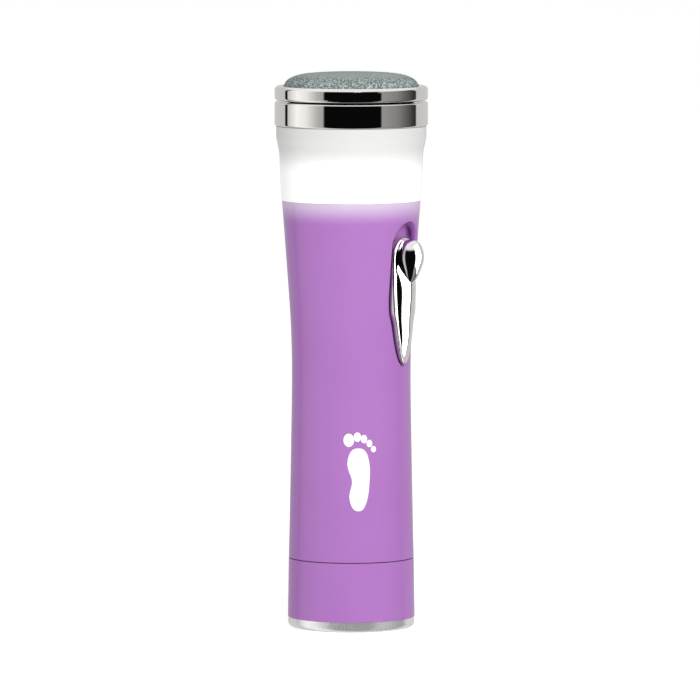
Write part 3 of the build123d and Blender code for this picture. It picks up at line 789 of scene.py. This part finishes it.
    @staticmethod
    def block(size: Sequence[float], centre: Sequence[float], turn: float = 0.0,
              soften: float = 0.15) -> bpy.types.Object:
        """A small block with softened edges.

        Args:
            size: Its width, depth and height in millimetres.
            centre: Its middle in millimetres.
            turn: Its turn about the handle's axis in degrees.
            soften: Width of its edge bevels in millimetres.

        Returns:
            The block, its place in its mesh.
        """
        Bench.clear()
        bpy.ops.mesh.primitive_cube_add(size=MM)
        bpy.ops.object.mode_set(mode="EDIT")
        bpy.ops.mesh.select_all(action="SELECT")
        bpy.ops.transform.resize(value=tuple(size), center_override=(0.0, 0.0, 0.0))
        bpy.ops.mesh.bevel(offset=soften * MM, segments=3, affect="EDGES")
        bpy.ops.object.mode_set(mode="OBJECT")
        piece = bpy.context.object
        angle = math.radians(turn)
        x, y, z = centre
        spot = (x * math.cos(angle) - y * math.sin(angle), x * math.sin(angle) + y * math.cos(angle), z)
        piece.rotation_euler = (0.0, 0.0, angle)
        piece.location = tuple(part * MM for part in spot)
        bpy.ops.object.transform_apply(location=True, rotation=True, scale=True)
        return piece


def outward_radius(node: str, height: float, azimuth: float = 180.0) -> float:
    """Measures how far a CAD piece's outside is from the handle's axis.

    Args:
        node: The piece.
        height: Height of the measurement, in millimetres.
        azimuth: Direction of the measurement, in degrees round from the switch.

    Returns:
        The radius in millimetres.
    """
    angle = math.radians(azimuth)
    away = Vector((math.sin(angle), -math.cos(angle), 0.0))
    start = away * 0.1 + Vector((0.0, 0.0, height * MM))
    hit, place, _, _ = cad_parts[node].ray_cast(start, -away)
    if not hit:
        raise ValueError(f"{node} has no outside at height {height}")
    return Vector((place.x, place.y)).length / MM


def dress(material: bpy.types.Material, *nodes: str) -> None:
    """Gives CAD pieces their finish.

    Args:
        material: The finish.
        nodes: The pieces.
    """
    for node in nodes:
        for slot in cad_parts[node].material_slots:
            slot.material = material
        log.info("dressed %s in %s", node, material.name)


def install(piece: bpy.types.Object, material: bpy.types.Material, body: Body) -> bpy.types.Object:
    """Gives a new piece its finish and fixes it to its body.

    Args:
        piece: The finished piece.
        material: Its finish.
        body: The body that carries it.

    Returns:
        The piece.
    """
    piece.data.materials.clear()
    piece.data.materials.append(material)
    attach(piece, body.value)
    log.info("built %s: %d faces on %s", piece.name, len(piece.data.polygons), body.value)
    return piece


# ---- sub-assemblies --------------------------------------------------------------------------------------
@dataclass
class Housing:
    """The lavender handle and battery cap, with the printed footprint."""

    mark_azimuth: float = -53.4
    mark_height: float = 45.0
    sole_half: float = 9.2
    heel_width: float = 3.0
    ball_width: float = 3.9
    arch_pinch: float = 1.25
    ink: float = 0.03
    skin_below: float = 3.0
    skin_above: float = 18.0
    skin_rings: int = 10
    toes: tuple[tuple[float, float, float, float], ...] = (
        (-2.75, 11.6, 1.55, 1.95), (-0.25, 12.5, 1.08, 1.40), (1.70, 11.9, 0.95, 1.22),
        (3.32, 10.6, 0.86, 1.08), (4.55, 8.9, 0.78, 0.95))

    def build(self) -> None:
        """Dresses the housing and prints its mark."""
        dress(ShellPlastic("lavender_shell").make(), "handle_shell", "battery_cap")
        self.footprint()

    def sole_outline(self, points: int = 56) -> list[Point]:
        """Outline of a sole, heel down: a lens with a pinched arch.

        Args:
            points: Number of points round it.

        Returns:
            The outline in millimetres.
        """
        outline = []
        for index in range(points):
            angle = 2 * math.pi * index / points
            along = -math.cos(angle)
            arch = math.exp(-((along + 0.05) / 0.36) ** 2)
            width = (self.heel_width + self.ball_width) / 2 + (self.ball_width - self.heel_width) / 2 * along
            side = math.copysign(abs(math.sin(angle)) ** 0.72, math.sin(angle))
            pinch = self.arch_pinch * arch * (1.0 if side < 0 else 0.35)
            outline.append((side * (width - pinch) + 0.35 * arch, along * self.sole_half))
        return outline

    def toe_outline(self, toe: Sequence[float], points: int = 24) -> list[Point]:
        """Outline of one toe, an ellipse.

        Args:
            toe: Its x, y, half width and half height in millimetres.
            points: Number of points round it.

        Returns:
            The outline in millimetres.
        """
        x, y, wide, tall = toe
        angles = (2 * math.pi * index / points for index in range(points))
        return [(x + wide * math.cos(angle), y + tall * math.sin(angle)) for angle in angles]

    def footprint(self) -> None:
        """Prints a plain footprint on the handle, as a thin skin of ink."""
        low = self.mark_height - self.sole_half - self.skin_below
        high = self.mark_height + self.skin_above
        heights = [low + (high - low) * step / self.skin_rings for step in range(self.skin_rings + 1)]
        outer = [(outward_radius("handle_shell", height) + self.ink, height) for height in heights]
        inner = [(radius - 2.2 * self.ink, height) for radius, height in reversed(outer)]
        skin = Bench.turn([*outer, *inner, outer[0]], segments=256)
        Bench.finish("ink_skin")
        shapes = [self.sole_outline()] + [self.toe_outline(toe) for toe in self.toes]
        prisms = [Bench.blank(shape, 12.0, 26.0, self.mark_azimuth, self.mark_height) for shape in shapes]
        Bench.join(Bench.wrap(skin, prisms))
        install(Bench.finish("printed_footprint"), PrintInk("white_print").make(), Body.HANDLE)


@dataclass
class LitWindow:
    """The frosted window under the head, with the lamps and the board behind it."""

    def build(self) -> None:
        """Dresses the window and its lamps."""
        dress(FrostedPlastic("frosted_window").make(), "window_ring")
        dress(SolderMask("lamp_board", (0.78, 0.79, 0.78), (0.70, 0.71, 0.70)).make(), "led_board")
        dress(Lamp("lamp_package").make(), "leds")


@dataclass
class Head:
    """The plated collar and the deck under the abrasive disc."""

    felt_inner: float = 8.9
    felt_outer: float = 13.1
    felt_thickness: float = 0.9
    felt_edge: float = 0.3
    recess_depth: float = 1.2
    clip_gap: float = 40.0
    clip_width: float = 1.1
    clip_thickness: float = 0.4

    def build(self) -> None:
        """Dresses the collar and the deck, and adds the dust felt and the shaft's clip."""
        dress(Plating("collar_plating").make(), "head_collar")
        dress(MouldedPlastic("deck_plastic", (0.70, 0.70, 0.68)).make(), "head_deck")
        self.dust_felt()
        self.shaft_clip()

    def dust_felt(self) -> None:
        """Lays a felt ring in the deck's recess, which catches the dust."""
        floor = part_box("head_deck")[1].z / MM - self.recess_depth
        top = floor + self.felt_thickness
        inner, outer, edge = self.felt_inner, self.felt_outer, self.felt_edge
        outline = [(inner, floor), (outer, floor), (outer, top - edge), (outer - edge, top),
                   (inner + edge, top), (inner, top - edge), (inner, floor)]
        Bench.turn(outline, segments=128)
        piece = Bench.finish("dust_felt")
        install(piece, Felt("dust_felt").make(), Body.HANDLE)

    def shaft_clip(self) -> None:
        """Adds the open retaining ring on the shaft, under the drive head."""
        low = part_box("drive_head")[0].z / MM - self.clip_thickness - 0.1
        top = low + self.clip_thickness
        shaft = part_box("output_shaft")
        inner = (shaft[1].x - shaft[0].x) / 2 / MM + 0.03
        outer = inner + self.clip_width - 0.03
        outline = [(inner, low), (outer, low), (outer, top), (inner, top), (inner, low)]
        ring = Bench.turn(outline, segments=96)
        Bench.finish("clip_ring")
        wedge = Bench.block((4.0, 1.6, 3.0), (3.0, 0.0, (low + top) / 2), turn=self.clip_gap)
        Bench.apply(ring, "BOOLEAN", operation="DIFFERENCE", object=wedge, solver="EXACT")
        bpy.data.objects.remove(wedge)
        ring.select_set(True)
        bpy.context.view_layer.objects.active = ring
        spring_steel = SatinMetal("spring_steel", (0.30, 0.30, 0.32)).make()
        install(Bench.finish("shaft_clip"), spring_steel, Body.SPINDLE)


@dataclass
class AbrasiveDisc:
    """The removable disc: its plated rim, its hub with ribs and its domed grit."""

    rings: int = 118
    segments: int = 320
    relief: float = 0.13
    inset: float = 0.02
    samples: int = 400
    grit_scales: tuple[tuple[float, float], ...] = ((0.00075, 1.0), (0.0021, 0.45))
    hub_plate: float = 1.75
    ribs: int = 12
    rib_inner: float = 8.3
    rib_outer: float = 16.9
    rib_height: float = 1.1

    def build(self) -> None:
        """Dresses the disc and models its grit and ribs."""
        dress(Plating("rim_plating").make(), "disc_rim")
        hub = MouldedPlastic("hub_plastic", (0.62, 0.62, 0.60)).make()
        dress(hub, "disc_hub")
        self.grit_dome()
        self.hub_ribs(hub)

    def dome_outline(self) -> list[Point]:
        """Measures the dome's section on its CAD piece, from its lower edge to near its middle.

        Returns:
            (radius, height) points in millimetres, evenly spaced along the section.
        """
        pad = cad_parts["abrasive_pad"]
        low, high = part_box("abrasive_pad")
        rim = (high.x - low.x) / 2 / MM - self.inset
        fine = []
        for step in range(self.samples):
            radius = rim * (1 - step / self.samples)
            above = Vector((radius * MM, 0.0, high.z + 0.01))
            hit, place, _, _ = pad.ray_cast(above, Vector((0.0, 0.0, -1.0)))
            if hit:
                fine.append((radius, place.z / MM))
        side_low = low.z / MM
        fine = [(rim, side_low + 0.3 * step) for step in range(4)] + fine
        lengths = [0.0]
        for (r0, z0), (r1, z1) in zip(fine, fine[1:]):
            lengths.append(lengths[-1] + math.hypot(r1 - r0, z1 - z0))
        outline, index = [], 0
        for step in range(self.rings):
            target = lengths[-1] * step / (self.rings - 1)
            while index < len(lengths) - 2 and lengths[index + 1] < target:
                index += 1
            part = (target - lengths[index]) / max(lengths[index + 1] - lengths[index], 1e-9)
            (r0, z0), (r1, z1) = fine[index], fine[index + 1]
            outline.append((r0 + (r1 - r0) * part, z0 + (z1 - z0) * part))
        return outline

    def grit_dome(self) -> None:
        """Models the dome with real relief on it, in place of the plain CAD one."""
        outline = self.dome_outline()
        crown = outline[-1][1]
        bottom = outline[0][1]
        closed = [(0.05, bottom), (outline[0][0] * 0.6, bottom), *outline[:-1], (0.05, crown)]
        dome = Bench.turn(closed, segments=self.segments)
        bpy.ops.object.mode_set(mode="EDIT")
        bpy.ops.mesh.select_all(action="SELECT")
        bpy.ops.mesh.fill_holes(sides=0)
        bpy.ops.object.mode_set(mode="OBJECT")
        dome = Bench.finish("abrasive_dome", smooth=60.0)
        for index, (size, depth) in enumerate(self.grit_scales):
            stone = bpy.data.textures.new(f"grit_relief_{index}", "CLOUDS")
            stone.noise_scale = size
            stone.noise_depth = 2
            Bench.apply(dome, "DISPLACE", texture=stone, strength=self.relief * depth * MM, mid_level=0.62,
                        texture_coords="LOCAL")
        Bench.clear()
        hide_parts("abrasive_pad")
        install(dome, Grit("mineral_grit").make(), Body.DISC)

    def hub_ribs(self, material: bpy.types.Material) -> None:
        """Adds the stiffening ribs under the hub's plate.

        Args:
            material: The hub's finish.
        """
        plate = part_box("disc_hub")[1].z / MM - self.hub_plate
        length = self.rib_outer - self.rib_inner
        centre = ((self.rib_inner + self.rib_outer) / 2, 0.0, plate - self.rib_height / 2 + 0.1)
        ribs = [Bench.block((length, 1.0, self.rib_height), centre, turn=360 * index / self.ribs)
                for index in range(self.ribs)]
        Bench.join(ribs)
        install(Bench.finish("hub_ribs"), material, Body.DISC)


@dataclass
class ThumbSwitch:
    """The plated slider button and what it moves behind the pocket."""

    def build(self) -> None:
        """Dresses the switch."""
        dress(Plating("button_plating", haze=0.035).make(), "switch_button")
        dress(MouldedPlastic("slider_plastic", (0.75, 0.75, 0.72)).make(), "switch_slider")
        dress(MouldedPlastic("switch_plastic", (0.03, 0.03, 0.035)).make(), "switch_knob", "slide_switch_body")


@dataclass
class Base:
    """The silver foot and what the battery cap holds."""

    grip_inner: float = 14.08
    grip_outer: float = 14.92

    def build(self) -> None:
        """Dresses the base and lays the grip ring in the foot's groove."""
        dress(SatinMetal("foot_silver", (0.90, 0.89, 0.91), roughness=0.24, lines=0.0005, tarnish=0.93,
                         metallic=0.72).make(), "base_foot")
        dress(Rubber("cap_seal", (0.03, 0.03, 0.032)).make(), "cap_seal")
        self.grip_ring()

    def grip_ring(self) -> None:
        """Lays a rubber ring in the groove under the foot."""
        top, bottom = 0.46, 0.02
        outline = [(self.grip_inner, top), (self.grip_inner, bottom + 0.1), (self.grip_inner + 0.1, bottom),
                   (self.grip_outer - 0.1, bottom), (self.grip_outer, bottom + 0.1), (self.grip_outer, top),
                   (self.grip_inner, top)]
        Bench.turn(outline, segments=160)
        install(Bench.finish("grip_ring"), Rubber("grip_rubber", (0.09, 0.09, 0.095)).make(), Body.BASE)


@dataclass
class BatteryBay:
    """The cells, their sleeve and the contacts, with polarity marks."""

    mark: float = 2.4
    stroke: float = 0.6
    forward: float = 3.2
    shrink_width: float = 0.9
    cell_body: float = 49.3
    nub: float = 1.0

    def build(self) -> None:
        """Dresses the bay and models the marks and the cells' shrunk edges."""
        sleeve = MouldedPlastic("sleeve_plastic", (0.66, 0.66, 0.64)).make()
        dress(sleeve, "battery_sleeve")
        dress(CellJacket("cell_jacket_up", "cell_up", Polarity.UP).make(), "cell_up")
        dress(CellJacket("cell_jacket_down", "cell_down", Polarity.DOWN).make(), "cell_down")
        dress(SatinMetal("nickel_plate", (0.66, 0.65, 0.63), roughness=0.22).make(), "cap_contact",
              "cap_spring", "positive_contact", "negative_contact", "sleeve_spring")
        self.polarity_marks(sleeve)
        self.shrunk_edges()

    def polarity_marks(self, material: bpy.types.Material) -> None:
        """Raises a plus and a minus beside the two bores, on the sleeve's lower face.

        Args:
            material: The sleeve's finish.
        """
        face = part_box("battery_sleeve")[0].z / MM
        plus_x = (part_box("cell_down")[0].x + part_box("cell_down")[1].x) / 2 / MM
        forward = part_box("cell_down")[0].y / MM - self.forward
        shapes = ((self.mark, self.stroke, plus_x), (self.stroke, self.mark, plus_x),
                  (self.mark, self.stroke, -plus_x))
        bars = [Bench.block((width, depth, 0.4), (x, forward, face - 0.1), soften=0.08)
                for width, depth, x in shapes]
        Bench.join(bars)
        install(Bench.finish("polarity_marks"), material, Body.HANDLE)

    def shrunk_edges(self) -> None:
        """Models the jacket's rolled edge round both ends of each cell."""
        film = MouldedPlastic("jacket_film", (0.03, 0.075, 0.066), roughness=0.25).make()
        for node, below in (("cell_up", 0.0), ("cell_down", self.nub)):
            low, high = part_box(node)
            centre = ((low.x + high.x) / 2 / MM, 0.0)
            radius = (high.y - low.y) / 2 / MM
            body_low = low.z / MM + below
            body_high = body_low + self.cell_body
            rolls = []
            for end, side in ((body_low, -1), (body_high, 1)):
                outline = [(radius - 0.42, end + side * 0.06), (radius - 1.5, end + side * 0.06),
                           (radius - 1.5, end - side * 0.04), (radius - 0.6, end - side * 0.05),
                           (radius - 0.12, end - side * 0.35), (radius + 0.01, end - side * self.shrink_width),
                           (radius + 0.05, end - side * self.shrink_width), (radius + 0.05, end - side * 0.5),
                           (radius - 0.42, end + side * 0.06)]
                Bench.turn(outline, segments=96, centre=centre)
                rolls.append(Bench.finish("roll"))
            Bench.join(rolls)
            install(Bench.finish(f"{node}_shrunk_edges"), film, Body.CELLS)


@dataclass
class DriveTrain:
    """Motor, gears, shafts and bushes."""

    def build(self) -> None:
        """Dresses the drive train."""
        dress(MouldedPlastic("frame_plastic", (0.66, 0.66, 0.64)).make(), "motor_frame", "upper_plate")
        dress(SatinMetal("drawn_can", (0.56, 0.56, 0.58), roughness=0.34).make(), "motor_can", "frame_pillars")
        dress(MouldedPlastic("bell_plastic", (0.04, 0.04, 0.045)).make(), "motor_end_bell")
        dress(SatinMetal("sintered_magnet", (0.10, 0.10, 0.11), roughness=0.6).make(), "motor_magnets")
        dress(SatinMetal("enamelled_copper", (0.60, 0.27, 0.12), roughness=0.35, lines=0.0004).make(),
              "motor_armature")
        ground_steel = SatinMetal("ground_steel", (0.66, 0.66, 0.68), roughness=0.18).make()
        dress(ground_steel, "motor_shaft", "idler_pin",
              "output_shaft")
        dress(SatinMetal("turned_brass", (0.74, 0.52, 0.22), roughness=0.24).make(), "motor_pinion",
              "drive_head", "lower_bush", "head_bush", "motor_terminals")
        dress(MouldedPlastic("natural_nylon", (0.80, 0.78, 0.69), roughness=0.38).make(), "idler_gear",
              "output_gear")
        dress(Rubber("seal_rubber", (0.03, 0.03, 0.032)).make(), "shaft_seal")
        dress(SatinMetal("zinc_screw", (0.60, 0.60, 0.60), roughness=0.28).make(), "motor_screws",
              "plate_screws", "deck_screws", "foot_screws", "contact_screw", "sleeve_screws", "slider_screw")


@dataclass
class Electronics:
    """The control board, its parts and the leads."""

    def build(self) -> None:
        """Dresses the electronics."""
        mask = SolderMask("control_board", (0.012, 0.095, 0.040), (0.030, 0.190, 0.070))
        dress(mask.make(), "control_board")
        dress(SatinMetal("capacitor_can", (0.50, 0.51, 0.53), roughness=0.3).make(), "board_capacitor")
        dress(MouldedPlastic("chip_epoxy", (0.022, 0.022, 0.024), roughness=0.5).make(), "driver_chip")
        dress(Rubber("red_insulation", (0.42, 0.02, 0.015), roughness=0.42).make(), "battery_lead_positive",
              "motor_leads")
        dress(Rubber("black_insulation", (0.018, 0.018, 0.02), roughness=0.42).make(), "battery_lead_negative",
              "led_leads")


# ---- studio ----------------------------------------------------------------------------------------------
@dataclass
class Studio:
    """Pale floor, soft light with dark flags for the plating to mirror, and the camera."""

    camera_azimuth: float = -60.0
    camera_distance: float = 2.2
    camera_height: float = 0.262
    aim_height: float = 0.0816
    lens: float = 386.0
    floor_half: float = 14.0
    soft_light: float = 0.34
    overhead: float = 0.92
    key_power: float = 48.0
    warmth: Colour = (1.0, 0.985, 0.955)
    panels: tuple[tuple[float, float], ...] = (
        (-180.0, 0.64), (-119.52, 0.60), (-118.08, 0.01), (-112.32, 0.01), (-110.88, 0.62), (-90.0, 1.05),
        (-72.0, 0.92), (-53.28, 0.50), (-43.2, 0.40), (-41.04, 0.003), (45.36, 0.003), (47.52, 0.33),
        (72.0, 0.25), (87.12, 0.15), (106.2, 0.045), (113.76, 0.03), (115.92, 0.62), (180.0, 0.64))

    def build(self) -> None:
        """Sets up the floor, the light and the camera."""
        self.floor()
        self.surroundings()
        self.lamps()
        self.camera()
        bpy.context.scene.view_settings.view_transform = "Standard"

    def towards(self, turn: float) -> Vector:
        """Finds a level direction from the object.

        Args:
            turn: Degrees to the right of the camera, seen from the camera.

        Returns:
            The direction, one metre long.
        """
        angle = math.radians(self.camera_azimuth)
        back = Vector((math.sin(angle), -math.cos(angle), 0.0))
        right = Vector((math.cos(angle), math.sin(angle), 0.0))
        return back * math.cos(math.radians(turn)) + right * math.sin(math.radians(turn))

    def floor(self) -> None:
        """Lays the pale floor, which the plating doesn't mirror."""
        Bench.clear()
        bpy.ops.mesh.primitive_plane_add(size=2 * self.floor_half)
        plane = bpy.context.object
        plane.name = "studio_floor"
        shader = Shader("studio_floor")
        cloud = shader.noise(0.4, detail=2.0)
        shader.fix(Base_Color=shader.ramp(cloud, (0.3, (0.86, 0.86, 0.86)), (0.7, (0.88, 0.88, 0.88))))
        shader.fix(Emission_Color=(1.0, 1.0, 1.0, 1.0), Emission_Strength=0.66, Roughness=0.9)
        plane.data.materials.append(shader.material)
        plane.visible_glossy = False

    def surroundings(self) -> None:
        """Makes the even soft light, and the panels and flags that the plating mirrors."""
        world = bpy.data.worlds.new("studio")
        bpy.context.scene.world = world
        world.use_nodes = True
        tree = world.node_tree
        soft = tree.nodes["Background"]
        soft.inputs["Color"].default_value = (1.0, 1.0, 1.0, 1.0)
        soft.inputs["Strength"].default_value = self.soft_light
        panels = tree.nodes.new("ShaderNodeBackground")
        tree.links.new(self.panel_colours(tree), panels.inputs["Color"])
        rays = tree.nodes.new("ShaderNodeLightPath")
        blend = tree.nodes.new("ShaderNodeMixShader")
        tree.links.new(rays.outputs["Is Glossy Ray"], blend.inputs["Fac"])
        tree.links.new(soft.outputs[0], blend.inputs[1])
        tree.links.new(panels.outputs[0], blend.inputs[2])
        tree.links.new(blend.outputs[0], tree.nodes["World Output"].inputs["Surface"])

    def panel_colours(self, tree: bpy.types.NodeTree) -> bpy.types.NodeSocket:
        """Builds what the plating mirrors all round, by degrees to the right of the camera.

        Args:
            tree: The world's nodes.

        Returns:
            The colour's socket.
        """
        def added(kind: str, **settings: Any) -> bpy.types.Node:
            """Adds a node to the world.

            Args:
                kind: The node's type.
                settings: Properties to set on it.

            Returns:
                The node.
            """
            made = tree.nodes.new(kind)
            for key, value in settings.items():
                setattr(made, key, value)
            return made

        direction = added("ShaderNodeTexCoord").outputs["Generated"]
        parts = []
        for axis in (self.towards(90.0), self.towards(0.0)):
            dot = added("ShaderNodeVectorMath", operation="DOT_PRODUCT")
            tree.links.new(direction, dot.inputs[0])
            dot.inputs[1].default_value = axis
            parts.append(dot.outputs["Value"])
        turn = added("ShaderNodeMath", operation="ARCTAN2")
        tree.links.new(parts[0], turn.inputs[0])
        tree.links.new(parts[1], turn.inputs[1])
        place = added("ShaderNodeMapRange")
        tree.links.new(turn.outputs[0], place.inputs["Value"])
        place.inputs["From Min"].default_value = -math.pi
        place.inputs["From Max"].default_value = math.pi
        ramp = added("ShaderNodeValToRGB")
        tree.links.new(place.outputs["Result"], ramp.inputs["Fac"])
        elements = ramp.color_ramp.elements
        while len(elements) < len(self.panels):
            elements.new(0.5)
        for element, (degrees, grey) in zip(elements, self.panels):
            element.position = (degrees + 180.0) / 360.0
            element.color = (*(part * grey for part in self.warmth), 1.0)
        split = added("ShaderNodeSeparateXYZ")
        tree.links.new(direction, split.inputs[0])
        over = added("ShaderNodeMapRange", interpolation_type="SMOOTHSTEP")
        tree.links.new(split.outputs["Z"], over.inputs["Value"])
        over.inputs["From Min"].default_value = 0.42
        over.inputs["From Max"].default_value = 0.62
        top = added("ShaderNodeMix", data_type="RGBA")
        tree.links.new(over.outputs["Result"], top.inputs["Factor"])
        tree.links.new(ramp.outputs["Color"], top.inputs[6])
        top.inputs[7].default_value = (self.overhead, self.overhead, self.overhead, 1.0)
        return top.outputs[2]

    def soft_box(self, name: str, turn: float, rise: float, distance: float, size: Sequence[float],
                 power: float) -> bpy.types.Object:
        """Hangs one soft box that faces the object.

        Args:
            name: Its name.
            turn: Degrees to the right of the camera.
            rise: Degrees above the horizon.
            distance: Metres from the object.
            size: Width and height in metres.
            power: Watts.

        Returns:
            The light's object.
        """
        data = bpy.data.lights.new(name, "AREA")
        data.shape = "RECTANGLE"
        data.size, data.size_y = size
        data.energy = power
        lamp = bpy.data.objects.new(name, data)
        bpy.context.scene.collection.objects.link(lamp)
        level = self.towards(turn) * math.cos(math.radians(rise)) * distance
        lamp.location = level + Vector((0.0, 0.0, math.sin(math.radians(rise)) * distance + self.aim_height))
        lamp.rotation_euler = (Vector((0.0, 0.0, self.aim_height)) - lamp.location).to_track_quat(
            "-Z", "Y").to_euler()
        return lamp

    def lamps(self) -> None:
        """Hangs the front light and the strip that the thumb switch mirrors."""
        front = self.soft_box("front_box", 14.0, 24.0, 2.6, (1.3, 1.0), self.key_power)
        front.visible_glossy = False
        strip = self.soft_box("switch_strip", 78.0, 6.0, 1.6, (1.7, 3.0), 56.0)
        strip.visible_diffuse = False
        switch = bpy.data.collections.new("switch_lit")
        switch.objects.link(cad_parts["switch_button"])
        strip.light_linking.receiver_collection = switch

    def camera(self) -> None:
        """Stands the camera at the switch's left, a little above the object and aimed at its middle."""
        data = bpy.data.cameras.new("camera")
        data.lens = self.lens
        data.sensor_width = 36.0
        data.shift_x = -0.0018
        data.clip_end = 60.0
        camera = bpy.data.objects.new("camera", data)
        bpy.context.scene.collection.objects.link(camera)
        camera.location = self.towards(0.0) * self.camera_distance + Vector((0.0, 0.0, self.camera_height))
        aim = Vector((0.0, 0.0, self.aim_height)) - camera.location
        camera.rotation_euler = aim.to_track_quat("-Z", "Y").to_euler()
        bpy.context.scene.camera = camera


def main() -> None:
    """Builds every sub-assembly and the studio."""
    logging.basicConfig(level=logging.INFO, format="%(name)s: %(message)s")
    parts = (Housing(), LitWindow(), Head(), AbrasiveDisc(), ThumbSwitch(), Base(), BatteryBay(), DriveTrain(),
             Electronics(), Studio())
    for part in parts:
        part.build()
    Bench.clear()


if __name__ == "__main__":
    main()
